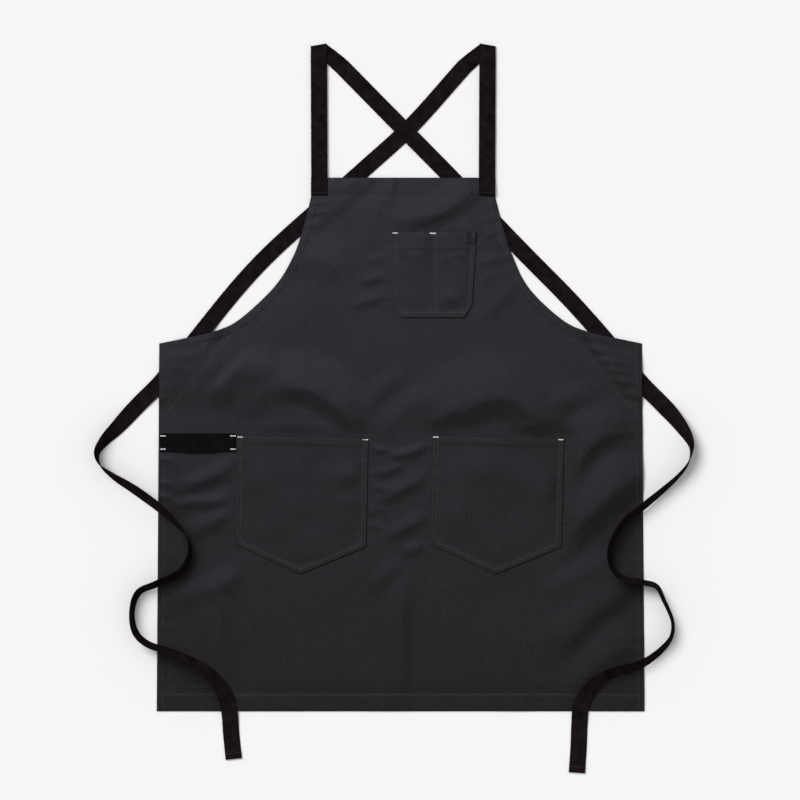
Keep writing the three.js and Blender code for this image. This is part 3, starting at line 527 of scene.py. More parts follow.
# Soft dents and ridges on the pockets: x and y in the pocket from its mouth's middle, height and spread
LEFT_POCKET_FOLDS = (
    (14, 70, -2.2, 16, 80), (72, 58, 2.4, 26, 15), (45, 186, 2, 36, 14), (-68, 66, 1.8, 22, 18),
    (76, 100, 1.6, 24, 14),
)
RIGHT_POCKET_FOLDS = (
    (-22, 52, 2, 34, 22), (84, 84, 2.4, 24, 24), (30, 110, -1.6, 30, 30), (-58, 120, 1.4, 24, 34),
)
CHEST_POCKET_FOLDS = (
    (-46, 33, 0.9, 10, 6), (-21, 37, 0.9, 9, 5), (16, 43, 0.9, 9, 6), (41, 37, 0.9, 11, 5),
    (25, 102, 1.6, 28, 11),
)
pocket_left = hip_pocket(-1, LEFT_POCKET_FOLDS, 21)
pocket_right = hip_pocket(1, RIGHT_POCKET_FOLDS, 22)
pocket_chest = {
    "width": CHEST_WIDTH, "taper": CHEST_TAPER, "hem": CHEST_HEM, "bow": CHEST_BOW, "turn": 0,
    "depth_at": chest_depth,
    "breaks": [CHEST_CORNER_WIDTH - CHEST_WIDTH / 2, CHEST_WIDTH / 2 - CHEST_CORNER_WIDTH],
    "seams": [PEN_SLOT - CHEST_WIDTH / 2], "x": BIB_OFFSET + CHEST_OFFSET, "y": BIB_HEIGHT - CHEST_DROP,
    "folds": CHEST_POCKET_FOLDS, "seed": 23,
}
pockets = (pocket_left, pocket_right, pocket_chest)
pocket_outlines = [pocket_outline(pocket) for pocket in pockets]

# How far out from a pocket's edge its puckers are looked for, and where the cloth is held flat by it:
# from just inside its edge to where the folds are free again
POCKET_MARGIN = 45
HELD_BY_POCKET = (-2, 28)


def pocket_patches(x, y):
    """1 away from the pockets and 0 under them, and the puckers round their seams."""
    free = np.ones(np.shape(x))
    puckers = np.zeros(np.shape(x))
    for pocket, line in zip(pockets, pocket_outlines):
        near = in_box_round(line, POCKET_MARGIN, x, y)
        if not near.any():
            continue
        distance, along = near_line(x[near], y[near], line)
        inside = in_outline(x[near], y[near], line)
        signed = np.where(inside, -distance, distance)
        free[near] = np.minimum(free[near], smoothstep(signed, *HELD_BY_POCKET))
        puckers[near] += 0.55 * pucker(distance, along, 12, pocket["seed"]) * smoothstep(signed, 0, 4)
    return free, puckers


def in_outline(x, y, line):
    """Whether places lie inside a closed line."""
    inside = np.zeros(np.shape(x), bool)
    for (x1, y1), (x2, y2) in zip(line[:-1], line[1:]):
        if y1 == y2:
            continue
        crosses = (y1 > y) != (y2 > y)
        inside ^= crosses & (x < (x2 - x1) * (y - y1) / (y2 - y1) + x1)
    return inside


def cloth_height(x, y):
    """Height of the panel's underside."""
    x = np.asarray(x, float)
    y = np.asarray(y, float)
    free, puckers = pocket_patches(x, y)
    edge, along = near_line(x, y, panel_edge)
    broad = 0.7 * plane_waves(x, y, 90, 230, 9, SEED)
    fine = 0.12 * plane_waves(x, y, 18, 42, 14, SEED + 1)
    patchy = 0.5 + 0.5 * plane_waves(x, y, 120, 260, 5, SEED + 2)
    raised = 2.2 * smoothstep(edge, 0, 60)
    loose = broad + fine * np.clip(patchy, 0.1, 1.2)
    hem_puckers = 0.4 * pucker(np.abs(edge - SIDE_HEM), along, 11, SEED + 3)
    height = over_straps(x, y) + raised + free * (folds(x, y) + loose) + puckers + hem_puckers
    return np.maximum(height, 0)


def hem_profile(edge, hem_width):
    """Thickness of the cloth towards a hemmed edge."""
    hem = 1 - smoothstep(edge, hem_width - 1, hem_width + 1.5)
    return lerp(CLOTH, HEM, hem)


def panel_thickness(x, y):
    edge, _ = near_line(x, y, panel_edge)
    thick = hem_profile(edge, SIDE_HEM)
    in_top = smoothstep(y, BIB_HEIGHT - TOP_HEM - 1.5, BIB_HEIGHT - TOP_HEM + 1)
    in_bottom = 1 - smoothstep(y, BOTTOM_HEM - SKIRT_LENGTH - 1, BOTTOM_HEM - SKIRT_LENGTH + 1.5)
    return np.maximum(thick, lerp(CLOTH, HEM, np.maximum(in_top, in_bottom)))


def panel_top(x, y):
    return cloth_height(x, y) + panel_thickness(x, y)


# Meshes

def new_object(name, data):
    """An object in the scene for a mesh, a lamp or a camera."""
    made = bpy.data.objects.new(name, data)
    bpy.context.scene.collection.objects.link(made)
    return made


def new_piece(name, points, faces, uv):
    """A smooth shaded mesh object from points in millimetres."""
    mesh = bpy.data.meshes.new(name)
    world = (np.asarray(points, float) + SHIFT) * MM
    mesh.from_pydata(world.tolist(), [], [tuple(face) for face in faces])
    mesh.polygons.foreach_set("use_smooth", [True] * len(mesh.polygons))
    layer = mesh.uv_layers.new(name="UVMap")
    corners = np.empty(len(mesh.loops), int)
    mesh.loops.foreach_get("vertex_index", corners)
    layer.data.foreach_set("uv", np.ravel(uv[corners] * MM))
    mesh.update()
    return new_object(name, mesh)


def sheet_piece(name, x, y, under, thick, edge):
    """A closed sheet of cloth over a grid of places, with a rounded rim where edge is 0."""
    roundness = 1.0
    share = np.clip(edge / roundness, 0, 1)
    full = np.sqrt(1 - (1 - share) ** 2)
    middle = under + thick / 2
    rows, columns = x.shape
    upper = np.stack([x, y, middle + full * thick / 2], 2)
    lower = np.stack([x, y, middle - full * thick / 2], 2)
    top = np.arange(rows * columns).reshape(rows, columns)
    bottom = top.copy()
    inner = (rows - 2) * (columns - 2)
    bottom[1:-1, 1:-1] = rows * columns + np.arange(inner).reshape(rows - 2, columns - 2)
    points = np.vstack([upper.reshape(-1, 3), lower[1:-1, 1:-1].reshape(-1, 3)])
    quads_up = np.stack([top[:-1, :-1], top[1:, :-1], top[1:, 1:], top[:-1, 1:]], 2).reshape(-1, 4)
    quads_down = np.stack(
        [bottom[:-1, :-1], bottom[:-1, 1:], bottom[1:, 1:], bottom[1:, :-1]], 2).reshape(-1, 4)
    return new_piece(name, points, np.vstack([quads_up, quads_down]).tolist(), points[:, :2])


# How far in from a sheet's edge the grid's first lines run, so that the rim is round
RIM = (0, 0.3, 1.0)


def panel_piece():
    """Bib and skirt in one, as a grid whose rows run from edge to edge."""
    cell = 4.1
    near_edge = RIM + (3, 5.5, 8, SIDE_HEM - 1, SIDE_HEM + 1.5, 14)
    hem_rows = [BIB_HEIGHT - d for d in RIM] + [
        BIB_HEIGHT - 5, BIB_HEIGHT - 9, BIB_HEIGHT - 14, BIB_HEIGHT - 19,
        BIB_HEIGHT - TOP_HEM + 1, BIB_HEIGHT - TOP_HEM - 1.5, BIB_HEIGHT - TOP_HEM - 4,
    ]
    edge_rows = resample(armhole, 3.4)[:, 1]
    bottom = -SKIRT_LENGTH + BOTTOM_HEM
    skirt_rows = np.linspace(0, bottom + 4, int((SKIRT_LENGTH - BOTTOM_HEM) / cell))[1:]
    last_rows = [bottom + 1.5, bottom - 1, bottom - 6, bottom - 11, bottom - 16, bottom - 21]
    last_rows += [-SKIRT_LENGTH + d for d in RIM[::-1]]
    heights = np.concatenate([hem_rows, edge_rows, skirt_rows, last_rows])
    heights = np.unique(heights)[::-1]
    columns = int(SKIRT_WIDTH / cell)
    inner = np.linspace(-1, 1, columns - 2 * len(near_edge))
    slope = -np.gradient(outline_half, outline_y)
    slant = np.clip(np.sqrt(1 + np.interp(heights, outline_y, slope) ** 2), 1, 7)
    left, right = edges_at(heights)
    rows_x = []
    for low, high, wide in zip(left, right, slant):
        rim = np.array(near_edge) * wide
        body = lerp(low + rim[-1] + 4, high - rim[-1] - 4, (inner + 1) / 2)
        rows_x.append(np.concatenate([low + rim, body, high - rim[::-1]]))
    x = np.array(rows_x)
    y = np.repeat(heights[:, None], x.shape[1], 1)
    edge, _ = near_line(x, y, panel_edge)
    edge[0] = edge[-1] = edge[:, 0] = edge[:, -1] = 0
    return sheet_piece("bib_and_skirt", x, y, cloth_height(x, y), panel_thickness(x, y), edge)


def pocket_open(pocket, across, down):
    """How far a pocket bows away from the panel."""
    half = pocket["width"] / 2
    bays = [TURNED_EDGE - half, *pocket["seams"], half - TURNED_EDGE]
    open_across = np.zeros(np.shape(across))
    for low, high in zip(bays[:-1], bays[1:]):
        share = np.clip(2 * (across - low) / (high - low) - 1, -1, 1)
        open_across = np.maximum(open_across, (1 - share ** 2) ** 0.7)
    depth = pocket["depth_at"](across) - TURNED_EDGE
    return pocket["bow"] * open_across * (1 - np.clip(down / depth, 0, 1) ** 2)


def pocket_height(pocket, across, down):
    """Height of a pocket's underside at a place in it."""
    x, y = pocket_place(pocket, across, down)
    depth = pocket["depth_at"](across)
    half = pocket["width"] / 2
    to_seam = np.minimum(half - np.abs(across), depth - down)
    for seam in pocket["seams"]:
        to_seam = np.minimum(to_seam, np.abs(across - seam))
    loose = smoothstep(to_seam, 4, 26)
    relief = 0.3 * plane_waves(x, y, 40, 120, 8, pocket["seed"])
    for middle, low, rise, wide, high in pocket["folds"]:
        relief = relief + rise * np.exp(-((across - middle) / wide) ** 2 - ((down - low) / high) ** 2)
    along = np.where(half - np.abs(across) < depth - down, down, across)
    seams = 0.3 * pucker(np.maximum(to_seam - 4, 0), along, 9, pocket["seed"] + 5)
    space = pocket_open(pocket, across, down)
    return panel_top(x, y) + GAP + np.maximum(space + loose * relief, 0) + np.maximum(seams, -0.2) + 0.2


def pocket_thickness(pocket, across, down):
    """Thickness of a pocket's cloth: more in the hem of its mouth and where its edges are turned under."""
    hem = 1 - smoothstep(down, pocket["hem"] - 1, pocket["hem"] + 1.5)
    to_edge = np.minimum(pocket["width"] / 2 - np.abs(across), pocket["depth_at"](across) - down)
    turned = 1 - smoothstep(to_edge, TURNED_EDGE - 1, TURNED_EDGE + 1)
    return lerp(CLOTH, HEM, np.maximum(turned * 0.7, hem))


def pocket_top(pocket, across, down):
    """Height of a pocket's upper face."""
    return pocket_height(pocket, across, down) + pocket_thickness(pocket, across, down)


def pocket_piece(name, pocket):
    half = pocket["width"] / 2
    cell = 3.4
    stops = sorted([-half, half, *pocket["breaks"], *pocket["seams"]])
    across = []
    for low, high in zip(stops[:-1], stops[1:]):
        across.append(np.linspace(low, high, max(2, int((high - low) / cell)) + 1)[:-1])
    across = np.concatenate([*across, [half]])
    extra = [-half + d for d in (0.3, 1, TURNED_EDGE - 1, TURNED_EDGE + 1)]
    across = np.unique(np.concatenate([across, extra, [-place for place in extra]]))
    from_mouth = [*RIM, 3.5, *np.arange(6, pocket["hem"] - 3, 3.5), pocket["hem"] - 2.2,
                  pocket["hem"] - 1, pocket["hem"] + 1.5]
    from_bottom = [TURNED_EDGE + 1, TURNED_EDGE - 1, 4, 1, 0.3, 0]
    body_rows = int((pocket["depth_at"](0.0) - pocket["hem"]) / cell)
    depth = pocket["depth_at"](across)
    rows = [np.full(len(across), float(down)) for down in from_mouth]
    for share in np.linspace(0, 1, body_rows)[1:-1]:
        rows.append(lerp(pocket["hem"] + 4, depth - TURNED_EDGE - 4, share))
    rows += [depth - up for up in from_bottom]
    down = np.array(rows)
    across = np.repeat(across[None], len(down), 0)
    to_side = half - np.abs(across)
    depth = pocket["depth_at"](across)
    edge = np.minimum.reduce([to_side, down, depth - down])
    edge[0] = edge[-1] = edge[:, 0] = edge[:, -1] = 0
    x, y = pocket_place(pocket, across, down)
    under = pocket_height(pocket, across, down)
    return sheet_piece(name, x, y, under, pocket_thickness(pocket, across, down), edge)


def tag_piece():
    """The bare tag in the chest pocket's upper right corner."""
    rim = (0, 0.3, 1)
    steps = np.array([*rim, *np.linspace(2.5, TAG - 2.5, 6), *[TAG - d for d in rim[::-1]]])
    across = CHEST_WIDTH / 2 - 1 - TAG + steps[None] + 0 * steps[:, None]
    down = 1 + steps[:, None] + 0 * steps[None]
    x, y = pocket_place(pocket_chest, across, down)
    under = pocket_top(pocket_chest, across, down) + GAP
    edge = np.minimum.reduce([steps[None] + 0 * down, TAG - steps[None] + 0 * down,
                              steps[:, None] + 0 * down, TAG - steps[:, None] + 0 * down])
    return sheet_piece("woven_tag", x, y, under, np.full(x.shape, 0.6), edge)


# Half section of the webbing: a share of its half width, and a share of its half thickness
WEB_SECTION = (
    (1, 0), (0.993, 0.5), (0.975, 0.85), (0.945, 1), (0.88, 1.06), (0.8, 0.92),
    (0.4, 0.94), (0, 0.95), (-0.4, 0.94), (-0.8, 0.92), (-0.88, 1.06), (-0.945, 1), (-0.975, 0.85),
    (-0.993, 0.5), (-1, 0),
)


def webbing_piece(name, middles, across, thick, width):
    """A ribbon of webbing through sections, with soft selvedges and closed ends."""
    section = np.array(WEB_SECTION)
    mirrored = section[1:-1][::-1] * (1, -1)
    ring = np.vstack([section, mirrored])
    along = np.gradient(middles, axis=0)
    normal = unit(np.cross(along, across))
    offset = ring[None, :, 0, None] * across[:, None] * width / 2
    offset = offset + ring[None, :, 1, None] * normal[:, None] * thick[:, None, None] / 2
    points = middles[:, None] + offset
    count, size = len(middles), len(ring)
    index = np.arange(count * size).reshape(count, size)
    beside = np.roll(index, -1, 1)
    quads = np.stack([index[:-1], index[1:], beside[1:], beside[:-1]], 2).reshape(-1, 4).tolist()
    ends = []
    upper = len(section)
    for k, turn in ((0, 1), (count - 1, -1)):
        for j in range(upper - 1):
            first = (size - j) % size
            second = size - j - 1
            face = [index[k, j], index[k, j + 1], index[k, second], index[k, first]]
            face = list(dict.fromkeys(face))
            if len(face) > 2:
                ends.append(face[::turn])
    length = lengths_along(middles)
    sideways = np.repeat(ring[None, :, 0] * width / 2, count, 0)
    uv = np.stack([sideways, np.repeat(length[:, None], size, 1)], 2)
    return new_piece(name, points.reshape(-1, 3), quads + ends, uv.reshape(-1, 2)), length[-1]


def tie_support(x, y):
    """Height on which a tie's lower edge rests: the panel, its edge, or the surface beside it."""
    outside = outside_panel(x, y)
    left, right = edges_at(np.clip(y, -SKIRT_LENGTH, 0))
    on_panel = panel_top(np.clip(x, left + 2, right - 2), np.clip(y, -SKIRT_LENGTH + 2, 0)) + GAP
    return on_panel * (1 - smoothstep(outside, 2, 22))


def strap_sections(plan):
    side, foot, shoulder, points = plan["side"], plan["foot"], plan["shoulder"], plan["points"]
    low_middle = WEB / 2
    high_middle = low_middle + WEB + 2 * GAP + 0.2
    slant = math.radians(FOLD_SLANT)
    upward = np.array([-1.0, 0, 0])
    fold_across = np.array([-math.cos(slant), side * math.sin(slant), 0])

    # From the sewn end up to the shoulder
    low = BIB_HEIGHT - STRAP_SEWN
    y = np.arange(low, shoulder[1], 3.0)
    x = lerp(foot, shoulder[0], (y - low) / (shoulder[1] - low))
    reach = np.linspace(-WEB_WIDTH / 2, WEB_WIDTH / 2, 7)
    held_y = np.minimum(y, BIB_HEIGHT - 2)
    on_bib = panel_top(x[:, None] + reach, held_y[:, None] + 0 * reach).max(1) + GAP + WEB / 2
    z = lerp(on_bib, high_middle, smoothstep(y, BIB_HEIGHT + 4, BIB_HEIGHT + 60))
    sway = 0.5 * np.sin(y / 23) * smoothstep(y, BIB_HEIGHT, BIB_HEIGHT + 40)
    turned = smoothstep(y, shoulder[1] - 30, shoulder[1])
    z = z + np.abs(sway) * (1 - turned)
    rising = np.stack([x, y, z], 1)
    rising_across = unit(lerp(upward, fold_across, turned[:, None]))

    # Over the fold
    outward = np.array([side * math.sin(slant), math.cos(slant)])
    radius = (high_middle - low_middle) / 2
    turn = np.linspace(0, math.pi, 9)
    over = np.stack([
        shoulder[0] + outward[0] * radius * np.sin(turn),
        shoulder[1] + outward[1] * radius * np.sin(turn),
        low_middle + radius * (1 + np.cos(turn)),
    ], 1)
    over_across = np.repeat(fold_across[None], len(over), 0)

    # Along the plan, flat behind the bib and through the casing, then standing on an edge as a tie
    tangent = unit(np.gradient(points[:, :2], axis=0))
    right_hand = np.stack([tangent[:, 1], -tangent[:, 0], np.zeros(len(points))], 1)
    lean = np.radians(points[:, 2])
    across = right_hand * np.cos(lean)[:, None] + np.array([0, 0, side]) * np.sin(lean)[:, None]
    px, py = points[:, 0], points[:, 1]
    leaving = strap_underside(px, py, plan)
    exit_x, exit_y = plan["exit"]
    to_exit = np.hypot(px - exit_x, py - exit_y)
    past = (py < exit_y) & ((-side * px > -side * exit_x) | (py < exit_y - WEB_WIDTH / 2))
    reach = np.linspace(-1, 1, 5)[None] * WEB_WIDTH / 2 * np.abs(np.cos(lean))[:, None]
    under_x = px[:, None] + reach * right_hand[:, :1]
    under_y = py[:, None] + reach * right_hand[:, 1:2]
    support = tie_support(under_x, under_y).max(1)
    support = np.convolve(np.pad(support, 4, mode="edge"), np.ones(9) / 9, mode="valid")
    resting = lerp(leaving, np.maximum(support, 0), smoothstep(to_exit, 40, 90))
    underside = np.where(past, resting, leaving)
    z = underside + np.abs(np.sin(lean)) * WEB_WIDTH / 2 + np.abs(np.cos(lean)) * WEB / 2
    length = lengths_along(points[:, :2])
    in_hem = smoothstep(length, length[-1] - TIE_HEM - 1, length[-1] - TIE_HEM + 1)
    thick = WEB * (1 + in_hem)
    z = z + in_hem * WEB / 2 * np.abs(np.cos(lean))
    running = np.stack([px, py, z], 1)

    # From the fold to the plan's first point
    share = np.linspace(0, 1, 14)[1:-1, None]
    start = np.array([shoulder[0], shoulder[1], low_middle])
    joining = lerp(start, running[0], share)
    joining_across = unit(lerp(fold_across, across[0], share))
    middles = np.vstack([rising, over, joining, running])
    all_across = np.vstack([rising_across, over_across, joining_across, across])
    all_thick = np.concatenate([np.full(len(rising) + len(over) + len(joining), WEB), thick])
    return middles, all_across, all_thick


def loop_sections():
    y = -LOOP_DROP
    left = -SKIRT_WIDTH / 2 + 1
    right = -(HIP_GAP / 2 + HIP_WIDTH) - 1 - WEB
    x = np.linspace(left, right, 46)
    from_end = np.minimum(x - left, right - x) - LOOP_SEWN
    free = np.clip(from_end, 0, None) / ((right - left) / 2 - LOOP_SEWN)
    reach = np.linspace(-LOOP_WIDTH / 2, LOOP_WIDTH / 2, 7)
    on_cloth = panel_top(x[:, None] + 0 * reach, y + reach + 0 * x[:, None]).max(1)
    z = on_cloth + GAP + WEB / 2 + LOOP_BOW * np.sin(np.clip(free, 0, 1) * math.pi / 2) ** 1.5
    middles = np.stack([x, np.full(len(x), float(y)), z], 1)
    across = np.repeat([[0.0, 1.0, 0.0]], len(x), 0)
    return middles, across, np.full(len(x), WEB)


def walk_to_edge(place, direction, farthest):
    """The place where a walk in a direction leaves the panel, or ends."""
    walk_step = 0.5
    way = 0
    while way < farthest and outside_panel(place[0], place[1]) < 0:
        place = place + direction * walk_step
        way += walk_step
    return place


def casing_ends(plan):
    """The casing's two cut ends, each as a line of places, and its direction."""
    direction = unit(plan["entry"] - plan["exit"])
    sideways = np.array([-direction[1], direction[0]])
    centre = (plan["entry"] + plan["exit"]) / 2
    inset = CASING_INSET / min(abs(direction[0]), abs(direction[1]))
    farthest = CASING_REACH / 2 + CASING_SPARE
    ends = []
    for sense in (1, -1):
        line = []
        for share in np.linspace(-0.5, 0.5, 13):
            place = walk_to_edge(centre + sideways * share * CASING_WIDTH, direction * sense, farthest)
            line.append(place - direction * sense * inset)
        ends.append(np.array(line))
    return ends, direction, sideways


def casing_piece(name, plan):
    (high, low), _, _ = casing_ends(plan)
    shares = np.array([0, 0.004, 0.015, *np.linspace(0.06, 0.94, 16), 0.985, 0.996, 1])
    grid = lerp(high[None], low[None], shares[:, None, None])
    if plan["side"] < 0:
        grid = grid[:, ::-1]
    x, y = grid[..., 0], grid[..., 1]
    rim = np.vstack([high, low[::-1], high[:1]])
    edge, _ = near_line(x, y, rim)
    edge[0] = edge[-1] = edge[:, 0] = edge[:, -1] = 0
    return sheet_piece(name, x, y, np.zeros(x.shape), np.full(x.shape, CLOTH), edge)


# Stitching, as lines that the stitches are set along

stitch_lines = {"topstitching_on_panel": [], "topstitching_on_pockets": [], "topstitching_on_webbing": []}
tack_lines = []

# Pitch of the points of a line, and where the rows run: in from a pocket's edge, and beside its seams
LINE_PITCH = 1.4
TACK_LINE_PITCH = 0.5
POCKET_ROWS = (1.6, 7.6)
BESIDE_SEAM = 4.4


def on_panel(line):
    """A line on the panel's upper face."""
    line = resample(np.asarray(line, float), LINE_PITCH)
    return np.column_stack([line, panel_top(line[:, 0], line[:, 1])])


def on_pocket(pocket, line):
    """A line given in the pocket, on its upper face."""
    line = resample(np.asarray(line, float), LINE_PITCH)
    x, y = pocket_place(pocket, line[:, 0], line[:, 1])
    return np.column_stack([x, y, pocket_top(pocket, line[:, 0], line[:, 1])])


def stitch_panel():
    lines = stitch_lines["topstitching_on_panel"]
    left, right = edges_at(BIB_HEIGHT - TOP_HEM)
    lines.append(on_panel([(left + 1.5, BIB_HEIGHT - TOP_HEM), (right - 1.5, BIB_HEIGHT - TOP_HEM)]))
    low = -SKIRT_LENGTH + BOTTOM_HEM
    left, right = edges_at(low)
    lines.append(on_panel([(left + 1.5, low), (right - 1.5, low)]))
    for side in (-1, 1):
        for inset in (1.8, SIDE_HEM - 1.5):
            lines.append(on_panel(side_line(side, inset, top=-6, bottom=-SKIRT_LENGTH + 2)))
        lines.append(on_panel(side_line(side, SIDE_HEM - 1, top=BIB_HEIGHT - 2, bottom=10)))
    for plan in (plan_from_left, plan_from_right):
        (high, low), direction, sideways = casing_ends(plan)
        for k in (0, -1):
            shift = -2.0 * sideways if k else 2.0 * sideways
            lines.append(on_panel([high[k] + shift, low[k] + shift]))
        centre = (plan["entry"] + plan["exit"]) / 2
        inward = sideways if sideways[0] * centre[0] < 0 else -sideways
        place = centre + inward * (CASING_WIDTH / 2 + CASING_BAND)
        lines.append(on_panel([
            walk_to_edge(place, direction, 120) - direction * SIDE_HEM,
            walk_to_edge(place, -direction, 120) + direction * SIDE_HEM,
        ]))
    left, top, wide, high = LABEL_BEHIND
    lines.append(on_panel([(left, top), (left, top - high)]))
    lines.append(on_panel([(left + 4, top - high), (left + wide, top - high)]))


def stitch_pockets():
    lines = stitch_lines["topstitching_on_pockets"]
    for pocket in pockets:
        half = pocket["width"] / 2
        lines.append(on_pocket(pocket, [(-half + 1, pocket["hem"]), (half - 1, pocket["hem"])]))
        for inset in POCKET_ROWS:
            stops = sorted([-half + inset, *pocket["breaks"], half - inset])
            bottom = [(stop, pocket["depth_at"](np.clip(stop, -half, half)) - inset) for stop in stops]
            lines.append(on_pocket(pocket, [(-half + inset, 1), *bottom, (half - inset, 1)]))
        for seam in pocket["seams"]:
            for shift in (-BESIDE_SEAM, BESIDE_SEAM):
                end = pocket["depth_at"](seam) - POCKET_ROWS[1]
                lines.append(on_pocket(pocket, [(seam + shift, 1), (seam + shift, end)]))


def tack_on_pocket(pocket, first, last, down):
    """A bartack along a pocket's mouth: a short dense row of cross stitches."""
    line = resample(np.array([(first, down), (last, down)]), TACK_LINE_PITCH)
    x, y = pocket_place(pocket, line[:, 0], line[:, 1])
    tack_lines.append(np.column_stack([x, y, pocket_top(pocket, line[:, 0], line[:, 1])]))


def tack_pockets():
    """Bartacks at the corners of each pocket's mouth, but not under the tag, and on the pen slot's seam."""
    for pocket in pockets:
        half = pocket["width"] / 2
        for side in (-1, 1):
            if pocket is not pocket_chest or side < 0:
                tack_on_pocket(pocket, side * (half - 0.5), side * (half - 8.5), 2.0)
        for seam in pocket["seams"]:
            tack_on_pocket(pocket, seam - 4.5, seam + 4.5, 2.5)


def tack_loop(middles):
    """Four bartacks, at both ends of the towel loop, near its edges."""
    for x in (middles[0, 0] + 5, middles[-1, 0] - 4):
        for side in (-1, 1):
            y = -LOOP_DROP + side * (LOOP_WIDTH / 2 - 4)
            line = np.column_stack([np.linspace(x - 4, x + 4, 17), np.full(17, y)])
            z = np.interp(line[:, 0], middles[:, 0], middles[:, 2]) + WEB / 2
            tack_lines.append(np.column_stack([line, z]))


def stitch_straps(straps):
    """A row across each strap's sewn end, and across each tie's hem."""
    lines = stitch_lines["topstitching_on_webbing"]
    for middles, across, thick in straps:
        for k, inset in ((1, 1.7), (-4, TIE_HEM - 3)):
            reach = np.linspace(-WEB_WIDTH / 2 + 1.5, WEB_WIDTH / 2 - 1.5, 17)[:, None]
            height = np.array([0, 0, thick[k] / 2])
            lines.append(middles[k] + reach * across[k] + height)


# Materials

def srgb(code):
    """Linear colour of an sRGB hex code."""
    parts = [int(code[k:k + 2], 16) / 255 for k in (0, 2, 4)]
    return tuple(p / 12.92 if p <= 0.04045 else ((p + 0.055) / 1.055) ** 2.4 for p in parts) + (1.0,)


def add_node(tree, kind, settings=None, links=None):
    """A node with its settings, and its inputs set to values or linked to outputs."""
    node = tree.nodes.new(kind)
    for key, value in (settings or {}).items():
        setattr(node, key, value)
    for key, value in (links or {}).items():
        if isinstance(value, bpy.types.NodeSocket):
            tree.links.new(value, node.inputs[key])
        else:
            node.inputs[key].default_value = value
    return node


def new_material(name, settings):
    """A material with a Principled shader and its fixed values."""
    material = bpy.data.materials.new(name)
    material.use_nodes = True
    tree = material.node_tree
    shader = tree.nodes["Principled BSDF"]
    for key, value in settings.items():
        shader.inputs[key].default_value = value
    return material, tree, shader


def period(spacing):
    """Scale of a wave texture whose bands lie a spacing in millimetres apart."""
    return math.pi / 10 / (spacing * MM)


def blob(size):
    """Scale of a noise texture whose blobs measure about a size in millimetres."""
    return 1 / (size * MM)


# Sockets of a mix node that mixes colours: its share, its two colours and its result
MIX_SHARE = 0
MIX_DARK = 6
MIX_LIGHT = 7
MIX_RESULT = 2


def cotton_twill(name, dark, light):
    """Charcoal cotton twill, garment washed: matt, with fine slanting ribs and slubs of paler yarn."""
    material, tree, shader = new_material(name, {
        "Roughness": 0.6, "Specular IOR Level": 0.28, "Specular Tint": (0.83, 0.8, 1, 1),
    })
    place = add_node(tree, "ShaderNodeTexCoord").outputs["Object"]
    slanted = add_node(tree, "ShaderNodeMapping", None, {
        "Vector": place, "Rotation": (0, 0, math.radians(35))}).outputs[0]
    # Real ribs lie about 0.5 mm apart and slubs are 0.5 mm thick: both are drawn coarser, so that they show
    ribs = add_node(tree, "ShaderNodeTexWave", {"wave_type": "BANDS", "bands_direction": "X"}, {
        "Vector": slanted, "Scale": period(1.1), "Distortion": 1.2, "Detail": 2.0,
        "Detail Scale": 2.0}).outputs["Fac"]
    drawn_out = add_node(tree, "ShaderNodeMapping", None, {
        "Vector": place, "Scale": (1, 0.3, 1)}).outputs[0]
    slubs = add_node(tree, "ShaderNodeTexNoise", None, {
        "Vector": drawn_out, "Scale": blob(1.4), "Detail": 2.0, "Roughness": 0.6}).outputs["Fac"]
    wash = add_node(tree, "ShaderNodeTexNoise", None, {
        "Vector": place, "Scale": blob(38), "Detail": 3.0, "Roughness": 0.55}).outputs["Fac"]
    yarn = add_node(tree, "ShaderNodeMath", {"operation": "MULTIPLY_ADD"}, {
        0: slubs, 1: 2.1, 2: -0.75}).outputs[0]
    worn = add_node(tree, "ShaderNodeMath", {"operation": "MULTIPLY_ADD"}, {
        0: wash, 1: 0.25, 2: yarn}).outputs[0]
    ribbed = add_node(tree, "ShaderNodeMath", {"operation": "MULTIPLY_ADD", "use_clamp": True}, {
        0: ribs, 1: 0.16, 2: worn}).outputs[0]
    colour = add_node(tree, "ShaderNodeMix", {"data_type": "RGBA"}, {
        MIX_SHARE: ribbed, MIX_DARK: srgb(dark), MIX_LIGHT: srgb(light)}).outputs[MIX_RESULT]
    tree.links.new(colour, shader.inputs["Base Color"])
    height = add_node(tree, "ShaderNodeMath", {"operation": "MULTIPLY_ADD"}, {
        0: slubs, 1: 1.1, 2: ribs}).outputs[0]
    bump = add_node(tree, "ShaderNodeBump", None, {
        "Height": height, "Strength": 0.55, "Distance": 0.3 * MM}).outputs[0]
    tree.links.new(bump, shader.inputs["Normal"])
    return material


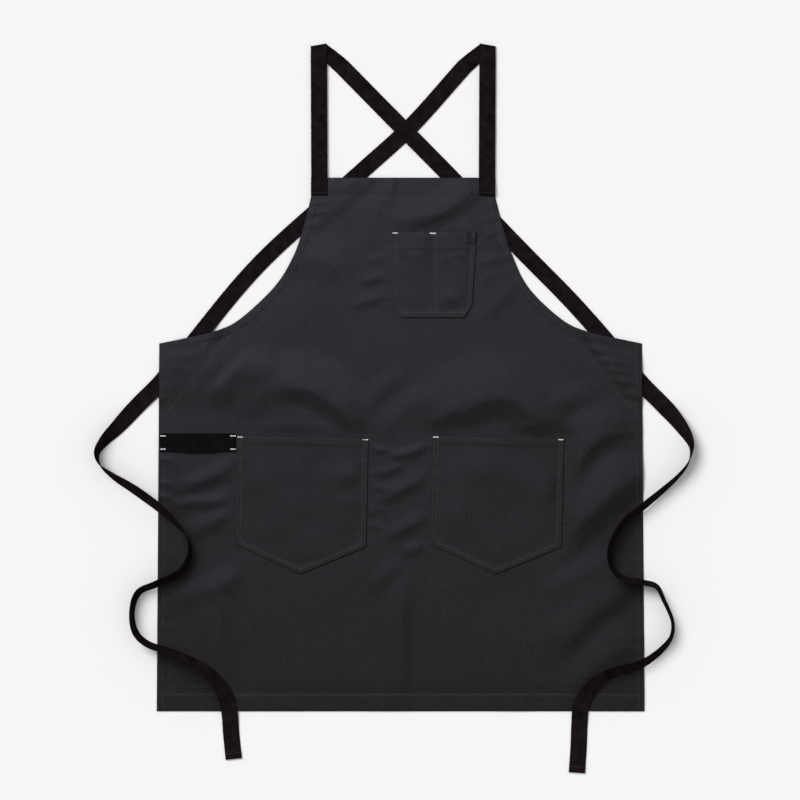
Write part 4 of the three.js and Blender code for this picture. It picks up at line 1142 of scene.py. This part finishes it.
def cotton_webbing(name, dark, light):
    """Black cotton webbing in a plain rib: short raised yarns across it, and a firm selvedge."""
    material, tree, shader = new_material(name, {
        "Roughness": 0.9, "Specular IOR Level": 0.0,
    })
    place = add_node(tree, "ShaderNodeTexCoord").outputs["UV"]
    # Real yarns lie about 1 mm apart: they are drawn coarser, so that they show
    across = add_node(tree, "ShaderNodeTexWave", {"wave_type": "BANDS", "bands_direction": "Y"}, {
        "Vector": place, "Scale": period(1.9), "Distortion": 0.6, "Detail": 1.0}).outputs["Fac"]
    lengthwise = add_node(tree, "ShaderNodeTexWave", {"wave_type": "BANDS", "bands_direction": "X"}, {
        "Vector": place, "Scale": period(1.6), "Distortion": 0.4, "Detail": 1.0}).outputs["Fac"]
    weave = add_node(tree, "ShaderNodeMath", {"operation": "MULTIPLY"}, {
        0: across, 1: lengthwise}).outputs[0]
    fuzz = add_node(tree, "ShaderNodeTexNoise", None, {
        "Vector": place, "Scale": blob(2.2), "Detail": 3.0, "Roughness": 0.6}).outputs["Fac"]
    wear = add_node(tree, "ShaderNodeTexNoise", None, {
        "Vector": place, "Scale": blob(14), "Detail": 3.0, "Roughness": 0.6}).outputs["Fac"]
    worn = add_node(tree, "ShaderNodeMath", {"operation": "MULTIPLY_ADD"}, {
        0: wear, 1: 1.8, 2: -1.0}).outputs[0]
    uneven = add_node(tree, "ShaderNodeMath", {"operation": "ADD"}, {0: fuzz, 1: worn}).outputs[0]
    shade = add_node(tree, "ShaderNodeMath", {"operation": "MULTIPLY_ADD", "use_clamp": True}, {
        0: weave, 1: 0.5, 2: uneven}).outputs[0]
    colour = add_node(tree, "ShaderNodeMix", {"data_type": "RGBA"}, {
        MIX_SHARE: shade, MIX_DARK: srgb(dark), MIX_LIGHT: srgb(light)}).outputs[MIX_RESULT]
    tree.links.new(colour, shader.inputs["Base Color"])
    bump = add_node(tree, "ShaderNodeBump", None, {
        "Height": weave, "Strength": 0.9, "Distance": 0.35 * MM}).outputs[0]
    tree.links.new(bump, shader.inputs["Normal"])
    return material


def spun_thread(name, dark, light, spacing):
    """Sewing thread: fine, slightly glossy, with the twist of its plies."""
    material, tree, shader = new_material(name, {"Roughness": 0.6, "Specular IOR Level": 0.35})
    place = add_node(tree, "ShaderNodeTexCoord").outputs["Object"]
    plies = add_node(tree, "ShaderNodeTexWave", {"wave_type": "BANDS", "bands_direction": "DIAGONAL"}, {
        "Vector": place, "Scale": period(spacing), "Distortion": 1.0}).outputs["Fac"]
    colour = add_node(tree, "ShaderNodeMix", {"data_type": "RGBA"}, {
        MIX_SHARE: plies, MIX_DARK: srgb(dark), MIX_LIGHT: srgb(light)}).outputs[MIX_RESULT]
    tree.links.new(colour, shader.inputs["Base Color"])
    return material


def woven_label(name, dark, light):
    """Damask label in dark polyester yarn: smooth and a little glossy, with fine crosswise ribs."""
    material, tree, shader = new_material(name, {"Roughness": 0.5, "Specular IOR Level": 0.4})
    place = add_node(tree, "ShaderNodeTexCoord").outputs["Object"]
    ribs = add_node(tree, "ShaderNodeTexWave", {"wave_type": "BANDS", "bands_direction": "Y"}, {
        "Vector": place, "Scale": period(0.7), "Distortion": 0.5}).outputs["Fac"]
    colour = add_node(tree, "ShaderNodeMix", {"data_type": "RGBA"}, {
        MIX_SHARE: ribs, MIX_DARK: srgb(dark), MIX_LIGHT: srgb(light)}).outputs[MIX_RESULT]
    tree.links.new(colour, shader.inputs["Base Color"])
    bump = add_node(tree, "ShaderNodeBump", None, {
        "Height": ribs, "Strength": 0.4, "Distance": 0.1 * MM}).outputs[0]
    tree.links.new(bump, shader.inputs["Normal"])
    return material


twill = cotton_twill("Cotton twill, charcoal, washed", "121212", "232323")
pocket_twill = cotton_twill("Cotton twill, charcoal, pockets", "121212", "232323")
webbing = cotton_webbing("Cotton webbing, black", "0a0709", "231c21")
# The loop's webbing has darker colours than the straps': painted shade, standing in for the dimmer light
# that its crosswise ribs reflect.
loop_webbing_painted_shade = cotton_webbing("Cotton webbing, black, with painted shade", "0a090b", "161417")
label = woven_label("Damask label, blue black", "0d1017", "1a1e28")
topstitch = spun_thread("Core spun thread, grey", "37352f", "4d4a44", 0.5)
white_thread = spun_thread("Core spun thread, white", "cfcfcb", "f4f4f0", 0.5)


# Stitches set along lines

def stitch_tree(name):
    """Geometry nodes that set stitches a pitch apart along edges, lying along or across them."""
    tree = bpy.data.node_groups.new(name, "GeometryNodeTree")
    tree.interface.new_socket("Lines", in_out="INPUT", socket_type="NodeSocketGeometry")
    for label_text in ("Pitch", "Length", "Thickness", "Turn"):
        tree.interface.new_socket(label_text, in_out="INPUT", socket_type="NodeSocketFloat")
    tree.interface.new_socket("Thread", in_out="INPUT", socket_type="NodeSocketMaterial")
    tree.interface.new_socket("Stitches", in_out="OUTPUT", socket_type="NodeSocketGeometry")
    given = tree.nodes.new("NodeGroupInput").outputs
    curves = add_node(tree, "GeometryNodeMeshToCurve", None, {"Mesh": given["Lines"]}).outputs[0]
    points = add_node(tree, "GeometryNodeCurveToPoints", {"mode": "LENGTH"}, {
        "Curve": curves, "Length": given["Pitch"]})
    aimed = add_node(tree, "FunctionNodeAlignRotationToVector", {"axis": "X"}, {
        "Vector": points.outputs["Tangent"]}).outputs[0]
    turn = add_node(tree, "ShaderNodeCombineXYZ", None, {"Z": given["Turn"]}).outputs[0]
    turned = add_node(tree, "FunctionNodeRotateRotation", {"rotation_space": "LOCAL"}, {
        "Rotation": aimed, "Rotate By": turn}).outputs[0]
    half = add_node(tree, "ShaderNodeCombineXYZ", None, {
        "X": given["Length"], "Y": given["Thickness"], "Z": given["Thickness"]}).outputs[0]
    bead = add_node(tree, "GeometryNodeMeshUVSphere", None, {"Segments": 6, "Rings": 5, "Radius": 0.5})
    placed = add_node(tree, "GeometryNodeInstanceOnPoints", None, {
        "Points": points.outputs["Points"], "Instance": bead.outputs["Mesh"], "Rotation": turned,
        "Scale": half}).outputs[0]
    real = add_node(tree, "GeometryNodeRealizeInstances", None, {"Geometry": placed}).outputs[0]
    smooth = add_node(tree, "GeometryNodeSetShadeSmooth", None, {"Geometry": real}).outputs[0]
    finished = add_node(tree, "GeometryNodeSetMaterial", None, {
        "Geometry": smooth, "Material": given["Thread"]}).outputs[0]
    result = tree.nodes.new("NodeGroupOutput")
    tree.links.new(finished, result.inputs[0])
    return tree


stitches_along = stitch_tree("stitches along lines")


def stitched_piece(name, lines, pitch, length, thickness, turn, thread):
    """A mesh of stitches along lines, from the geometry nodes."""
    points = np.vstack(lines)
    edges = []
    first = 0
    for line in lines:
        edges += [(first + k, first + k + 1) for k in range(len(line) - 1)]
        first += len(line)
    guide = bpy.data.meshes.new(name + "_guide")
    guide.from_pydata(((points + SHIFT) * MM).tolist(), edges, [])
    carrier = new_object(name + "_guide", guide)
    modifier = carrier.modifiers.new("stitches", "NODES")
    modifier.node_group = stitches_along
    values = {"Pitch": pitch * MM, "Length": length * MM, "Thickness": thickness * MM, "Turn": turn,
              "Thread": thread}
    for item in stitches_along.interface.items_tree:
        if item.name in values:
            modifier[item.identifier] = values[item.name]
    carrier.update_tag()
    bpy.context.view_layer.update()
    graph = bpy.context.evaluated_depsgraph_get()
    mesh = bpy.data.meshes.new_from_object(carrier.evaluated_get(graph))
    mesh.name = name
    bpy.data.objects.remove(carrier)
    return new_object(name, mesh)


# All pieces, each with its finish and body, hiding the solid that it stands for

def finish_piece(piece, material, slot, *nodes):
    if not piece.data.materials:
        piece.data.materials.append(material)
    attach(piece, "root")
    if nodes:
        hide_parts(*nodes)
    return piece


panel = finish_piece(panel_piece(), twill, "cloth", "apron_panel")

for name, node, pocket, flat, area in (
    ("pocket_of_the_chest", "chest_pocket", pocket_chest, (0.147, 0.17), 0.0235),
    ("pocket_on_the_left_hip", "hip_pocket_left", pocket_left, (0.22, 0.234), 0.0455),
    ("pocket_on_the_right_hip", "hip_pocket_right", pocket_right, (0.22, 0.234), 0.0455),
):
    piece = finish_piece(pocket_piece(name, pocket), pocket_twill, "cloth", node)

tag = finish_piece(tag_piece(), label, "tag", "pocket_tag")

for name, node, plan in (
    ("strap_casing_on_the_left", "casing_left", plan_from_right),
    ("strap_casing_on_the_right", "casing_right", plan_from_left),
):
    piece = finish_piece(casing_piece(name, plan), twill, "cloth", node)

middles, across, thick = loop_sections()
loop, loop_length = webbing_piece("loop_of_webbing", middles, across, thick, LOOP_WIDTH)
finish_piece(loop, loop_webbing_painted_shade, "webbing", "towel_loop")
tack_loop(middles)

straps = []
for name, nodes, plan in (
    ("strap_and_tie_from_the_left", ("shoulder_strap_left", "waist_tie_right"), plan_from_left),
    ("strap_and_tie_from_the_right", ("shoulder_strap_right", "waist_tie_left"), plan_from_right),
):
    sections = strap_sections(plan)
    straps.append(sections)
    piece, strap_length = webbing_piece(name, *sections, WEB_WIDTH)
    finish_piece(piece, webbing, "webbing", *nodes)

stitch_panel()
stitch_pockets()
stitch_straps(straps)
tack_pockets()
# Real thread is about 0.4 mm thick: it is drawn thicker, so that it shows
for name, lines in stitch_lines.items():
    piece = stitched_piece(name, lines, pitch=3.1, length=2.5, thickness=0.75, turn=0.0, thread=topstitch)
    finish_piece(piece, topstitch, "thread")
bartacks = stitched_piece("bartacks", tack_lines, pitch=0.62, length=2.3, thickness=0.7,
                          turn=math.pi / 2, thread=white_thread)
finish_piece(bartacks, white_thread, "bartack")


# Floor, light and camera

def pale_floor():
    mesh = bpy.data.meshes.new("floor")
    reach = 14.0
    drop = -0.0004
    corners = [(-reach, -reach, drop), (reach, -reach, drop), (reach, reach, drop), (-reach, reach, drop)]
    mesh.from_pydata(corners, [], [(0, 1, 2, 3)])
    floor = new_object("floor", mesh)
    material, _, _ = new_material("Matt paper, white", {
        "Base Color": (0.9, 0.9, 0.9, 1), "Roughness": 1.0, "Specular IOR Level": 0.0})
    mesh.materials.append(material)


def lamp(name, kind, energy, place, aim, **settings):
    """A lamp at a place, aimed at another."""
    data = bpy.data.lights.new(name, kind)
    data.energy = energy
    for key, value in settings.items():
        setattr(data, key, value)
    made = new_object(name, data)
    made.location = place
    direction = np.array(place, float) - np.array(aim, float)
    flat = math.hypot(direction[0], direction[1])
    turn = math.atan2(direction[1], direction[0]) + math.pi / 2
    made.rotation_euler = (math.atan2(flat, direction[2]), 0, turn)
    return made


pale_floor()
world = bpy.data.worlds.new("soft light all round")
world.use_nodes = True
sky = world.node_tree
in_gloss = add_node(sky, "ShaderNodeLightPath").outputs["Is Glossy Ray"]
SKY_STRENGTH = 0.46
SKY_STRENGTH_IN_GLOSS = 0.12
strength = add_node(sky, "ShaderNodeMath", {"operation": "MULTIPLY_ADD"}, {
    0: in_gloss, 1: SKY_STRENGTH_IN_GLOSS - SKY_STRENGTH, 2: SKY_STRENGTH}).outputs[0]
sky.nodes["Background"].inputs["Color"].default_value = (1, 1, 1, 1)
sky.links.new(strength, sky.nodes["Background"].inputs["Strength"])
bpy.context.scene.world = world
key = lamp("soft key from the upper left", "SUN", energy=2.35, place=(-0.75, 0.75, 1.25), aim=(0, 0, 0),
           angle=math.radians(32))
key.visible_glossy = False
sheen = lamp("window light from the upper left", "AREA", energy=54, place=(-0.95, 1.45, 1.6),
             aim=(0, 0.1, 0), size=1.0)
sheen.visible_diffuse = False

camera_data = bpy.data.cameras.new("camera over the apron")
CAMERA_HEIGHT = 6.0
SEEN_WIDTH = 1.24
VIEW_CENTRE = (0.0092, 0.0129)
camera_data.sensor_width = 36
camera_data.lens = camera_data.sensor_width * CAMERA_HEIGHT / SEEN_WIDTH
camera_data.clip_end = 50
camera = new_object("camera over the apron", camera_data)
camera.location = (*VIEW_CENTRE, CAMERA_HEIGHT)
bpy.context.scene.camera = camera
bpy.context.scene.view_settings.view_transform = "Standard"
